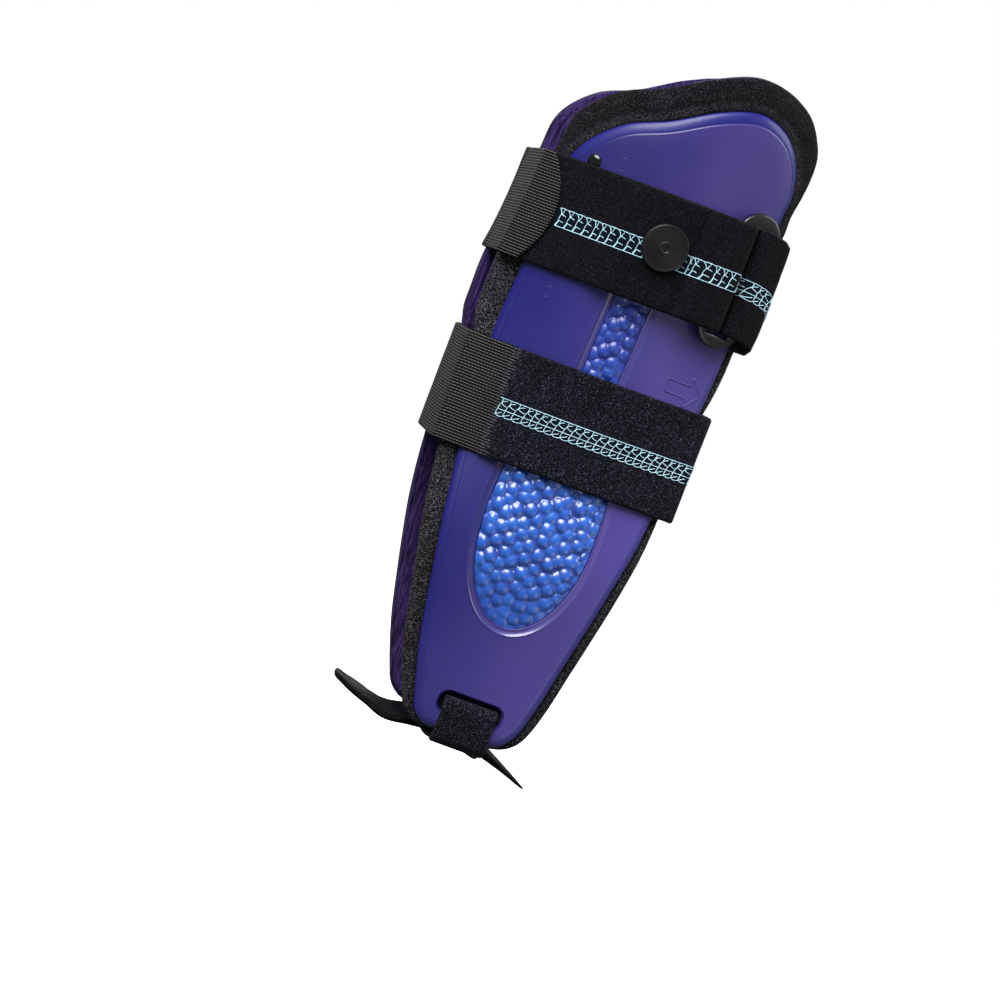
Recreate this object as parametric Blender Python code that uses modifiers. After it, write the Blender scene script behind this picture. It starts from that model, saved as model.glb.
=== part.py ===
"""Stirrup ankle brace: two padded plastic shells, two straps that wrap them to the leg, and a heel strap.

Frame: +X points to the toes, +Z up the shank, and the lateral (outer) side is at -Y.
The origin is the middle of the heel pad's upper face, where the heel sits.
"""
import math

import bmesh
import bpy
from mathutils import Matrix, Vector

GAP = 0.0003  # clearance between two pieces that touch

# The side that the shells and pads are bent to, measured to the shell's seat on the pad
HALF_SPAN = 0.0435  # mid-plane to the seat, at the ankle bones
WRAP = 0.0140  # how far the seat falls back at the shell's upper edges
FACE_CENTRE = -0.0050  # x of the shell's centre line

# Shell
SHELL_FOOT = 0.0023  # z of the shell's lower end
SHELL_HEIGHT = 0.2435
SHELL_HALF_WIDTH = 0.0410
SHELL_THICKNESS = 0.0026
SLOT_WIDTH = 0.0232
SLOT_HEIGHT = 0.0082
SLOT_RISE = 0.0064  # plastic left below the slot
SLOT_CORNER = 0.0038
STUD_DIAMETER = 0.0050
STUD_BACK = 0.0261  # behind the centre line
STUD_HEIGHT = 0.2099

# Window, an oval with a neck that runs up under the upper strap
WINDOW_FOOT = 0.0447
WINDOW_HALF_WIDTH = 0.0201
WINDOW_LOWER = 0.0371  # oval's half height below its widest place
WINDOW_UPPER = 0.0620
NECK_HALF_WIDTH = 0.0066
NECK_TOP = 0.1800
NECK_LEAN = 0.045  # forward for each length up, above the oval
BEAD_PANEL_THICKNESS = 0.0014

# Pad and lining
PAD_THICKNESS = 0.0055
PAD_MARGIN = 0.0120  # the pad's widest rim outside the shell
LINING_THICKNESS = 0.0012
LINING_INSET = 0.0010

# Straps
STRAP_WIDTH = 0.0400
STRAP_THICKNESS = 0.0022
ELASTIC_THICKNESS = 0.0015
UPPER_STRAP_HEIGHT = 0.1885  # z of the middle
LOWER_STRAP_HEIGHT = 0.1192
UPPER_FRONT = 0.0455  # x of the loop's inner face, in front of the shin
UPPER_BACK = -0.0490
UPPER_BACK_LEAN = 0.075  # forward for each length up
LOWER_FRONT = 0.0385
LOWER_FRONT_LEAN = 0.040
LOWER_BACK = -0.0510
FRONT_TURN = 1.00  # where the straps turn inward, as shares of the shell's half width
LOWER_BACK_TURN = 1.06
UPPER_BACK_TURN = 1.02
UPPER_TURN_LEAN = -2.4  # the upper turn follows the pad's edge, which lies further forward higher up
TAB_REACH = 0.0065  # how far the elastic's rounded end runs past its corners
TAB_FRONT = -0.0310  # x of the tab's tip, from the centre line
SEAM = -0.0290  # x of the lower strap's seam, from the centre line
LAP = 0.0075  # length of strap under a lapped end

# Ring and button on the upper strap
RING_WIDTH = 0.0176
RING_LENGTH = 0.0502
RING_THICKNESS = 0.0024
RING_PLACE = 0.0320  # in front of the centre line
RING_BAR = 0.0042
RING_LEAN = math.radians(3.5)
BAR_CLEARANCE = 0.0040  # flat strap kept beside each bar
BUTTON_DIAMETER = 0.0172
BUTTON_HEIGHT = 0.0018
BUTTON_PLACE = 0.0050
BUTTON_RISE = 0.0020  # above the strap's middle
RETURN_END = -0.0080  # where the folded strap ends under the button
STEP_DOWN = 0.0100  # length over which the strap comes down off its folded end
FRONT_RETURN = 0.0090  # length of the front strap's folded end past the turn
FRONT_STEP = 0.0055  # length over which the front strap comes down off it

# Heel pad and heel strap
HEEL_LENGTH = 0.0790
HEEL_BACK = -0.0510
HEEL_HALF_WIDTH = 0.0285
HEEL_PAD_THICKNESS = 0.0026
HEEL_RISE = 0.0095
HEEL_CUP = 0.0016
HEEL_STRAP_WIDTH = 0.0200
HEEL_STRAP_THICKNESS = 0.0020
HOOK_RISE = 0.0030  # middle of the hook's bend above the slot's lower edge

# Facets
COLUMNS = 10
ROWS = 18
STRAP_ROWS = 3
STATION = 0.0066  # longest step along a strap

# height share of the shell, span share, wrap share
FORM = (
    (-0.10, 0.830, 0.14),
    (0.00, 0.850, 0.15),
    (0.12, 0.910, 0.18),
    (0.28, 1.000, 0.25),
    (0.42, 0.960, 0.45),
    (0.58, 0.970, 0.76),
    (0.74, 1.030, 0.95),
    (0.88, 1.090, 1.02),
    (1.10, 1.160, 1.05),
)

# half-width share and height share of the shell's outline, and the pad's margin share there
OUTLINE = (
    (-0.266, 0.000, 0.08),
    (-0.400, 0.007, 0.20),
    (-0.466, 0.021, 0.32),
    (-0.510, 0.043, 0.38),
    (-0.622, 0.113, 0.46),
    (-0.732, 0.211, 0.53),
    (-0.832, 0.318, 0.60),
    (-0.905, 0.442, 0.60),
    (-0.941, 0.567, 0.52),
    (-0.905, 0.680, 0.62),
    (-0.861, 0.800, 0.50),
    (-0.846, 0.848, 0.50),
    (-0.732, 0.884, 0.88),
    (-0.510, 0.919, 0.98),
    (-0.178, 0.945, 0.96),
    (0.200, 0.982, 0.96),
    (0.532, 1.000, 1.00),
    (0.798, 0.988, 0.98),
    (0.976, 0.956, 0.82),
    (1.063, 0.907, 0.42),
    (1.041, 0.855, 0.27),
    (1.010, 0.668, 0.22),
    (0.976, 0.567, 0.17),
    (0.876, 0.368, 0.27),
    (0.766, 0.267, 0.33),
    (0.632, 0.151, 0.32),
    (0.532, 0.069, 0.32),
    (0.432, 0.021, 0.25),
    (0.232, 0.000, 0.08),
)

# length share and rise share along the heel pad's middle, back to front
SOLE = (
    (0.00, 0.94),
    (0.08, 0.60),
    (0.15, 0.37),
    (0.25, 0.18),
    (0.40, 0.11),
    (0.55, 0.10),
    (0.65, 0.00),
    (0.74, -0.22),
    (0.86, -0.60),
    (1.00, -1.12),
)

# colour, roughness, metallic
MATERIALS = {
    "shell_plastic": ((0.045, 0.032, 0.230), 0.35, 0.0),
    "bead_plastic": ((0.010, 0.095, 0.560), 0.20, 0.0),
    "pile_fabric": ((0.008, 0.008, 0.011), 0.95, 0.0),
    "woven_elastic": ((0.035, 0.032, 0.030), 0.90, 0.0),
    "purple_textile": ((0.040, 0.018, 0.120), 0.90, 0.0),
    "black_plastic": ((0.010, 0.010, 0.011), 0.35, 0.0),
}


# Numbers and curves

def read_table(table, column, at):
    """A smooth reading of one column at a place in the first column."""
    keys = [row[0] for row in table]
    values = [row[column] for row in table]
    last = len(keys) - 1
    at = min(max(at, keys[0]), keys[last])
    i = max(k for k in range(last) if keys[k] <= at)

    def slope(k):
        low, high = max(k - 1, 0), min(k + 1, last)
        return (values[high] - values[low]) / (keys[high] - keys[low])

    width = keys[i + 1] - keys[i]
    t = (at - keys[i]) / width
    return (
        (2 * t**3 - 3 * t**2 + 1) * values[i]
        + (t**3 - 2 * t**2 + t) * width * slope(i)
        + (3 * t**2 - 2 * t**3) * values[i + 1]
        + (t**3 - t**2) * width * slope(i + 1)
    )


def smooth_loop(points, steps):
    """A closed curve through the points, with so many steps to each span."""
    count = len(points)
    loop = []
    for i in range(count):
        a, b, c, d = (Vector(points[(i + k) % count]) for k in (-1, 0, 1, 2))
        for step in range(steps):
            t = step / steps
            loop.append(
                0.5 * (2 * b + (c - a) * t + (2 * a - 5 * b + 4 * c - d) * t**2 + (3 * b - a - 3 * c + d) * t**3)
            )
    return loop


def outward(points):
    """The unit normals of a closed clockwise loop."""
    count = len(points)
    normals = []
    for i in range(count):
        along = (points[(i + 1) % count] - points[i - 1]).normalized()
        normals.append(Vector((-along.y, along.x)))
    return normals


def blend(a, b, t):
    return a + (b - a) * t


def ease(t):
    t = min(max(t, 0.0), 1.0)
    return t * t * (3 - 2 * t)


# The bent side

def seat(x, z):
    """Distance of the shell's seat from the mid-plane."""
    share = (z - SHELL_FOOT) / SHELL_HEIGHT
    away = (x - FACE_CENTRE) / SHELL_HALF_WIDTH
    return HALF_SPAN * read_table(FORM, 1, share) - WRAP * read_table(FORM, 2, share) * away**2


def on_form(x, z, lift):
    """The point of the lateral side that lies lift outside the seat, and its outward normal."""
    step = 0.0005
    slope_x = (seat(x + step, z) - seat(x - step, z)) / (2 * step)
    slope_z = (seat(x, z + step) - seat(x, z - step)) / (2 * step)
    normal = Vector((-slope_x, -1.0, -slope_z)).normalized()
    return Vector((x, -seat(x, z), z)) + normal * lift, normal


SHELL_FACE = GAP + SHELL_THICKNESS
STRAP_SEAT = SHELL_FACE + GAP


# Objects

def clear_scene():
    for obj in list(bpy.data.objects):
        bpy.data.objects.remove(obj, do_unlink=True)


def new_collection(name):
    collection = bpy.data.collections.new(name)
    bpy.context.scene.collection.children.link(collection)
    return collection


def make_materials():
    made = {}
    for name, (colour, roughness, metallic) in MATERIALS.items():
        material = bpy.data.materials.new(name)
        material.use_nodes = True
        shader = material.node_tree.nodes["Principled BSDF"]
        shader.inputs["Base Color"].default_value = (*colour, 1.0)
        shader.inputs["Roughness"].default_value = roughness
        shader.inputs["Metallic"].default_value = metallic
        made[name] = material
    return made


def add_object(name, data, collection):
    obj = bpy.data.objects.new(name, data)
    collection.objects.link(obj)
    return obj


def mesh_of(obj):
    """The object's evaluated mesh in world space, with a curve's caps welded on."""
    bpy.context.view_layer.update()
    evaluated = obj.evaluated_get(bpy.context.evaluated_depsgraph_get())
    mesh = bpy.data.meshes.new_from_object(evaluated)
    mesh.transform(obj.matrix_world)
    form = bmesh.new()
    form.from_mesh(mesh)
    bmesh.ops.remove_doubles(form, verts=form.verts, dist=1e-6)
    bmesh.ops.recalc_face_normals(form, faces=form.faces)
    form.to_mesh(mesh)
    form.free()
    return mesh


def prism(name, outlines, half_depth, upright, cutters):
    """A cutter: flat closed outlines made thick, facing -Y where upright and +Z where not."""
    curve = bpy.data.curves.new(name, "CURVE")
    curve.dimensions = "2D"
    curve.fill_mode = "BOTH"
    curve.extrude = half_depth
    for points in outlines:
        spline = curve.splines.new("POLY")
        spline.points.add(len(points) - 1)
        for point, place in zip(spline.points, points):
            point.co = (place[0], place[1], 0.0, 1.0)
        spline.use_cyclic_u = True
    flat = add_object(name + "_outline", curve, cutters)
    if upright:
        flat.rotation_euler.x = math.pi / 2
    solid = add_object(name, mesh_of(flat), cutters)
    bpy.data.objects.remove(flat, do_unlink=True)
    solid.hide_render = True
    solid.display_type = "WIRE"
    return solid


def surface(name, place, columns, rows, thickness, collection):
    """An open sheet through place(u, v), given its thickness on the side its normals face."""
    form = bmesh.new()
    grid = [
        [form.verts.new(place(i / columns, k / rows)) for i in range(columns + 1)]
        for k in range(rows + 1)
    ]
    for k in range(rows):
        for i in range(columns):
            form.faces.new((grid[k][i], grid[k][i + 1], grid[k + 1][i + 1], grid[k + 1][i]))
    mesh = bpy.data.meshes.new(name)
    form.to_mesh(mesh)
    form.free()
    mesh.shade_smooth()
    obj = add_object(name, mesh, collection)
    wall = obj.modifiers.new("Wall", "SOLIDIFY")
    wall.thickness = thickness
    wall.offset = 1.0
    wall.use_even_offset = True
    return obj


def boolean(obj, cutter, operation):
    cut = obj.modifiers.new(cutter.name, "BOOLEAN")
    cut.operation = operation
    cut.object = cutter
    cut.solver = "EXACT"


def bent_slab(name, low, high, collection):
    """A blank as large as the pad, between two lifts off the seat."""
    half = SHELL_HALF_WIDTH + 1.5 * PAD_MARGIN
    foot = SHELL_FOOT - PAD_MARGIN
    head = SHELL_FOOT + SHELL_HEIGHT + 1.5 * PAD_MARGIN

    def place(u, v):
        x = FACE_CENTRE + half * (2 * u - 1)
        return on_form(x, blend(foot, head, v), low)[0]

    return surface(name, place, COLUMNS, ROWS, high - low, collection)


def finish(obj, material):
    """The object made a plain mesh with its material and smooth faces."""
    mesh = mesh_of(obj)
    mesh.materials.clear()
    mesh.materials.append(material)
    mesh.shade_smooth()
    mesh.set_sharp_from_angle(angle=math.radians(40))
    obj.modifiers.clear()
    obj.data = mesh
    obj.matrix_world = Matrix.Identity(4)
    return obj


def mirrored(obj, name, collection):
    """The medial copy of a lateral piece."""
    mesh = obj.data.copy()
    mesh.transform(Matrix.Scale(-1, 4, (0, 1, 0)))
    mesh.flip_normals()
    return add_object(name, mesh, collection)


# Outlines, as seen from the side

def shell_outline():
    rows = [
        (FACE_CENTRE + SHELL_HALF_WIDTH * x, SHELL_FOOT + SHELL_HEIGHT * z) for x, z, _ in OUTLINE
    ]
    return smooth_loop(rows, 2)


def pad_outline(inset):
    rows = [
        Vector((FACE_CENTRE + SHELL_HALF_WIDTH * x, SHELL_FOOT + SHELL_HEIGHT * z))
        for x, z, _ in OUTLINE
    ]
    wide = [
        row + normal * (PAD_MARGIN * share - inset)
        for row, normal, (_, _, share) in zip(rows, outward(rows), OUTLINE)
    ]
    return smooth_loop(wide, 2)


def window_outline(inset):
    """The oval below and the neck above, as one closed loop."""
    widest = WINDOW_FOOT + WINDOW_LOWER
    middle = FACE_CENTRE
    foot = WINDOW_FOOT + inset
    head = NECK_TOP - inset
    neck = NECK_HALF_WIDTH - inset

    def half_width(z):
        reach = WINDOW_LOWER if z < widest else WINDOW_UPPER
        oval = WINDOW_HALF_WIDTH * math.sqrt(max(0.0, 1 - ((z - widest) / reach) ** 2)) - inset
        if z < widest:
            return max(oval, 0.0)
        round_end = math.sqrt(max(0.0, neck**2 - max(0.0, z - (head - neck)) ** 2))
        return max(oval, round_end)

    def centre(z):
        return middle + NECK_LEAN * max(0.0, z - widest - WINDOW_UPPER / 2)

    steps = 24
    heights = [blend(foot, head, (1 - math.cos(math.pi * k / steps)) / 2) for k in range(steps + 1)]
    back = [(centre(z) - half_width(z), z) for z in heights if half_width(z) > 0.0004]
    front = [(centre(z) + half_width(z), z) for z in heights if half_width(z) > 0.0004]
    return [(centre(foot), foot)] + back + [(centre(head), head)] + front[::-1]


def rounded_box(x, z, width, height, corner, steps=4):
    """A rectangle with round corners, its middle at x, z."""
    loop = []
    for turn, (side_x, side_z) in enumerate(((1, 1), (-1, 1), (-1, -1), (1, -1))):
        for step in range(steps + 1):
            angle = math.pi / 2 * (turn + step / steps)
            loop.append(
                (
                    x + side_x * (width / 2 - corner) + corner * math.cos(angle),
                    z + side_z * (height / 2 - corner) + corner * math.sin(angle),
                )
            )
    return loop


def circle(x, z, radius, count=16):
    return [
        (x + radius * math.cos(math.tau * k / count), z + radius * math.sin(math.tau * k / count))
        for k in range(count)
    ]


SLOT_MIDDLE = SHELL_FOOT + SLOT_RISE + SLOT_HEIGHT / 2


# Pieces of one side

def make_shell(parts, cutters):
    shell = bent_slab("lateral_shell", GAP, SHELL_FACE, parts)
    slot = rounded_box(FACE_CENTRE, SLOT_MIDDLE, SLOT_WIDTH, SLOT_HEIGHT, SLOT_CORNER)
    stud = circle(FACE_CENTRE - STUD_BACK, STUD_HEIGHT, STUD_DIAMETER / 2 + GAP)
    boolean(shell, prism("shell_edge", [shell_outline()], 0.1, True, cutters), "INTERSECT")
    boolean(shell, prism("shell_window", [window_outline(0.0)], 0.1, True, cutters), "DIFFERENCE")
    boolean(shell, prism("shell_slot", [slot], 0.1, True, cutters), "DIFFERENCE")
    boolean(shell, prism("shell_hole", [stud], 0.1, True, cutters), "DIFFERENCE")
    return shell


def make_stud(parts, cutters):
    stud = bent_slab("lateral_stud", GAP, SHELL_FACE, parts)
    ring = circle(FACE_CENTRE - STUD_BACK, STUD_HEIGHT, STUD_DIAMETER / 2)
    boolean(stud, prism("stud_edge", [ring], 0.1, True, cutters), "INTERSECT")
    return stud


def make_bead_panel(parts, cutters):
    panel = bent_slab("lateral_bead_panel", GAP, GAP + BEAD_PANEL_THICKNESS, parts)
    boolean(panel, prism("panel_edge", [window_outline(2 * GAP)], 0.1, True, cutters), "INTERSECT")
    return panel


def make_pad(parts, cutters):
    """The foam pad, with a pocket behind the slot for the heel strap's folded end."""
    pad = bent_slab("lateral_pad", -PAD_THICKNESS, 0.0, parts)
    pocket = bent_slab("pad_pocket", -HEEL_STRAP_THICKNESS - 2 * GAP, PAD_THICKNESS, cutters)
    pocket.hide_render = True
    pocket.display_type = "WIRE"
    width = HEEL_STRAP_WIDTH + 4 * GAP
    top = SLOT_MIDDLE + SLOT_HEIGHT / 2
    below = SHELL_FOOT - PAD_MARGIN / 2
    box = rounded_box(FACE_CENTRE, (top + below) / 2, width, top - below, GAP)
    boolean(pocket, prism("pocket_edge", [box], 0.1, True, cutters), "INTERSECT")
    boolean(pad, prism("pad_edge", [pad_outline(0.0)], 0.1, True, cutters), "INTERSECT")
    boolean(pad, pocket, "DIFFERENCE")
    return pad


def make_lining(parts, cutters):
    outer = -PAD_THICKNESS - GAP
    lining = bent_slab("lateral_lining", outer - LINING_THICKNESS, outer, parts)
    edge = pad_outline(LINING_INSET)
    boolean(lining, prism("lining_edge", [edge], 0.1, True, cutters), "INTERSECT")
    return lining


# Straps

# each value at the strap's middle, and its lean where it has one
UPPER_LOOP = {
    "middle": UPPER_STRAP_HEIGHT,
    "front": (UPPER_FRONT, 0.0),
    "back": (UPPER_BACK, UPPER_BACK_LEAN),
    "back_turn": (UPPER_BACK_TURN, UPPER_TURN_LEAN),
}
LOWER_LOOP = {
    "middle": LOWER_STRAP_HEIGHT,
    "front": (LOWER_FRONT, LOWER_FRONT_LEAN),
    "back": (LOWER_BACK, 0.0),
    "back_turn": (LOWER_BACK_TURN, 0.0),
}


def loop_place(away, z, lift, loop):
    """A point of a strap's inner face in plan, for a place along its run.

    Away is a share of the shell's half width. Past FRONT_TURN the strap crosses the front, and past
    the loop's back turn the back, and at 2 or -2 it meets the mid-plane.
    """
    front, back, back_turn = (
        loop[key][0] + loop[key][1] * (z - loop["middle"]) for key in ("front", "back", "back_turn")
    )
    edge = min(max(away, -back_turn), FRONT_TURN)
    start, normal = on_form(FACE_CENTRE + SHELL_HALF_WIDTH * edge, z, lift)
    if edge == away:
        return start
    t = (abs(away) - abs(edge)) / (2 - abs(edge))
    way = 1 if away > 0 else -1
    along = Vector((-normal.y, normal.x)) * way
    far = Vector((front if away > 0 else back, 0.0))
    near = Vector((start.x, start.y))
    reach = abs(far.x - near.x) / max(abs(along.x), 0.2)
    bend = near + along * reach * 0.9
    hold = Vector((far.x, near.y * 0.8))
    plan = (
        near * (1 - t) ** 3 + 3 * bend * t * (1 - t) ** 2 + 3 * hold * t * t * (1 - t) + far * t**3
    )
    return Vector((plan.x, plan.y, z))


def run_place(run, z, lift, loop):
    """A whole loop's place: -2 to 2 is the lateral half, and past 2 the medial half runs back to 6."""
    if run <= 2:
        return loop_place(run, z, lift, loop)
    point = loop_place(4 - run, z, lift, loop)
    return Vector((point.x, -point.y, point.z))


def strap(name, run_at, lift_at, loop, columns, thickness, collection):
    """A band whose inner face follows the loop. run_at and lift_at take the way along and up."""

    def place(u, v):
        z = loop["middle"] + STRAP_WIDTH * (v - 0.5)
        return run_place(run_at(u, v), z, lift_at(u), loop)

    return surface(name, place, columns, STRAP_ROWS, thickness, collection)


def share(x):
    """A distance from the centre line as a share of the shell's half width."""
    return x / SHELL_HALF_WIDTH


def make_lower_straps(parts):
    """The pile strap from the lateral seam round the front, and the elastic round the back."""
    start = share(SEAM)
    end = 4 - start
    under = STRAP_SEAT + ELASTIC_THICKNESS + 2 * GAP

    def lift(u):
        run = blend(start, end, u)
        near = min(run - start, end - run)
        return blend(under, STRAP_SEAT, ease((near - share(LAP)) / share(LAP)))

    pile = strap(
        "lower_strap", lambda u, v: blend(start, end, u), lift, LOWER_LOOP,
        44, STRAP_THICKNESS, parts,
    )
    first = start + share(LAP)

    def back_run(u, v):
        return blend(-first, 4 + first, u)

    elastic = back_strap(
        "lower_elastic", back_run, lambda u: STRAP_SEAT, LOWER_LOOP, 26, parts
    )
    return pile, elastic


def back_strap(name, run_at, lift_at, loop, columns, collection):
    """An elastic band from the lateral side round the back to the medial side.

    Its run is counted from -first on the lateral side through 2 at the mid-plane.
    """

    def place(u, v):
        z = loop["middle"] + STRAP_WIDTH * (v - 0.5)
        run = run_at(1 - u, v)
        flip = run > 2
        away = 4 - run if flip else run
        point = loop_place(-away, z, lift_at(1 - u), loop)
        return Vector((point.x, -point.y if flip else point.y, z))

    return surface(name, place, columns, STRAP_ROWS, ELASTIC_THICKNESS, collection)


RETURN_FACE = STRAP_SEAT + STRAP_THICKNESS  # upper face of the folded layer
RING_FLOOR = RETURN_FACE + 3 * GAP
RING_FACE = RING_FLOOR + RING_THICKNESS
RING_SLOT = RING_WIDTH - 2 * RING_BAR


def fold_path(bar_side, far_lift, far_away, under_away, steps):
    """Places and lifts of a strap that comes in over one bar of the ring and returns under it.

    bar_side is -1 for the strap behind the ring and 1 for the one in front of it.
    """
    top = RING_FACE + 3 * GAP
    bottom = RETURN_FACE
    middle = (top + bottom) / 2
    radius = (top - bottom) / 2
    turn = share(RING_PLACE + bar_side * (GAP + STRAP_THICKNESS + radius))
    path = [(far_away, far_lift)]
    bar_end = share(RING_PLACE + bar_side * (RING_WIDTH / 2 + BAR_CLEARANCE))
    path.append((bar_end, top))
    path.append((turn, top))
    for step in range(1, steps):
        angle = math.pi * step / steps
        across = math.sin(angle) ** 0.6
        up = math.copysign(abs(math.cos(angle)) ** 0.6, math.cos(angle))
        path.append((turn - bar_side * share(radius) * across, middle + radius * up))
    path.append((turn, bottom))
    path.append((bar_end, bottom))
    path.append((under_away, bottom))
    return path


def walk(path, spacing):
    """The path with points added where two neighbours lie further apart than the spacing."""
    points = [path[0]]
    for a, b in zip(path, path[1:]):
        count = max(1, math.ceil(abs(b[0] - a[0]) / spacing))
        for step in range(1, count + 1):
            t = step / count
            points.append((blend(a[0], b[0], t), blend(a[1], b[1], t)))
    return points


def path_strap(name, path, loop, thickness, collection):
    """A band along listed places and lifts, which may fold back on itself."""
    last = len(path) - 1

    def place(u, v):
        run, lift = path[round(u * last)]
        z = loop["middle"] + STRAP_WIDTH * (v - 0.5)
        return run_place(run, z, lift, loop)

    return surface(name, place, last, STRAP_ROWS, thickness, collection)


def make_upper_straps(parts):
    """The lateral strap folded round the ring's back bar, the front strap and the elastic."""
    top = RETURN_FACE + GAP
    tail = share(RETURN_END)
    step_down = tail - share(STEP_DOWN)
    start = share(TAB_FRONT) - share(LAP)
    before_ring = share(RING_PLACE - RING_WIDTH / 2 - 2 * BAR_CLEARANCE)
    fold = fold_path(-1, top, before_ring, tail, 6)
    lateral = walk([(start, STRAP_SEAT), (step_down, STRAP_SEAT), (tail, top)] + fold, share(STATION))
    lateral_strap = path_strap("upper_strap", lateral, UPPER_LOOP, STRAP_THICKNESS, parts)
    under = FRONT_TURN + share(FRONT_RETURN)
    rejoin = under + share(FRONT_STEP)
    around = walk([(4 - start, STRAP_SEAT), (rejoin, STRAP_SEAT)], share(STATION))
    front = walk(fold_path(1, STRAP_SEAT, rejoin, under, 6), share(STATION))
    front_strap = path_strap(
        "upper_front_strap", (around[:-1] + front)[::-1], UPPER_LOOP, STRAP_THICKNESS, parts
    )
    tip = -share(TAB_FRONT)
    over = STRAP_SEAT + STRAP_THICKNESS + GAP

    def run(u, v):
        curl = share(TAB_REACH) * (2 * v - 1) ** 2
        return blend(tip + curl, 4 - tip - curl, u)

    def lift(u):
        along = blend(tip, 4 - tip, u)
        near = min(along - tip, 4 - tip - along)
        return blend(over, STRAP_SEAT, ease((near - share(LAP)) / (1.5 * share(LAP))))

    elastic = back_strap("upper_elastic", run, lift, UPPER_LOOP, 30, parts)
    return lateral_strap, front_strap, elastic


def seat_matrix(x, z, lift, turn):
    """A frame on the lateral side: local X forward, local Y up, local Z outward."""
    origin, normal = on_form(x, z, lift)
    forward = Vector((1, 0, 0)) - normal * normal.x
    forward.normalize()
    up = normal.cross(forward)
    frame = Matrix((forward, up, normal)).transposed().to_4x4()
    return Matrix.Translation(origin) @ frame @ Matrix.Rotation(turn, 4, "Z")


def make_ring(parts):
    """An oval ring with one slot, which both ends of the upper strap pass through."""
    curve = bpy.data.curves.new("strap_ring", "CURVE")
    curve.dimensions = "2D"
    curve.fill_mode = "BOTH"
    curve.extrude = RING_THICKNESS / 2
    slot_length = STRAP_WIDTH + 8 * GAP
    loops = (
        rounded_box(0, 0, RING_WIDTH, RING_LENGTH, RING_WIDTH * 0.49, 5),
        rounded_box(0, 0, RING_SLOT, slot_length, RING_SLOT * 0.2, 2),
    )
    for loop in loops:
        spline = curve.splines.new("POLY")
        spline.points.add(len(loop) - 1)
        for point, place in zip(spline.points, loop):
            point.co = (place[0], place[1], 0.0, 1.0)
        spline.use_cyclic_u = True
    ring = add_object("strap_ring", curve, parts)
    ring.matrix_world = seat_matrix(
        FACE_CENTRE + RING_PLACE, UPPER_STRAP_HEIGHT, (RING_FLOOR + RING_FACE) / 2, -RING_LEAN
    )
    mesh = mesh_of(ring)
    bpy.data.objects.remove(ring, do_unlink=True)
    return add_object("strap_ring", mesh, parts)


def make_button(parts):
    """A low domed rivet head on the doubled part of the upper strap."""
    radius = BUTTON_DIAMETER / 2
    profile = (
        (0.0, BUTTON_HEIGHT),
        (radius * 0.55, BUTTON_HEIGHT * 0.92),
        (radius * 0.90, BUTTON_HEIGHT * 0.70),
        (radius, BUTTON_HEIGHT * 0.40),
        (radius, 0.0),
        (0.0, 0.0),
    )
    mesh = bpy.data.meshes.new("strap_button")
    edges = [(i, i + 1) for i in range(len(profile) - 1)]
    mesh.from_pydata([(x, 0.0, z) for x, z in profile], edges, [])
    button = add_object("strap_button", mesh, parts)
    turned = button.modifiers.new("Turn", "SCREW")
    turned.steps = 24
    turned.render_steps = 24
    turned.use_merge_vertices = True
    turned.merge_threshold = 1e-5
    lift = RETURN_FACE + GAP + STRAP_THICKNESS + GAP
    button.matrix_world = seat_matrix(
        FACE_CENTRE + BUTTON_PLACE, UPPER_STRAP_HEIGHT + BUTTON_RISE, lift, 0.0
    )
    return button


# Heel

def sole(x):
    """Height of the heel pad's upper face along its middle."""
    return HEEL_RISE * read_table(SOLE, 1, (x - HEEL_BACK) / HEEL_LENGTH)


def below_sole(x, depth):
    """Height of the face that lies so deep under the heel pad's upper face, square to it."""
    step = 0.001
    slope = (sole(x + step) - sole(x - step)) / (2 * step)
    return sole(x) - depth * math.sqrt(1 + slope**2)


def make_heel_pad(parts, cutters):
    """A cupped pad under the heel, curled up behind and sloping down in front."""
    half = HEEL_HALF_WIDTH

    def place(u, v):
        x = HEEL_BACK + HEEL_LENGTH * (1.04 * u - 0.02)
        y = half * 1.04 * (1 - 2 * v)
        return Vector((x, y, sole(x) + HEEL_CUP * (y / half) ** 2))

    pad = surface("heel_pad", place, 16, 8, HEEL_PAD_THICKNESS, parts)
    loop = []
    steps = 40
    for k in range(steps):
        angle = math.tau * k / steps
        across, along = math.sin(angle), math.cos(angle)
        x = HEEL_BACK + HEEL_LENGTH / 2 * (1 + math.copysign(abs(along) ** 0.8, along))
        loop.append((x, half * math.copysign(abs(across) ** 0.8, across)))
    boolean(pad, prism("heel_pad_edge", [loop], 0.1, False, cutters), "INTERSECT")
    return pad


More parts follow.
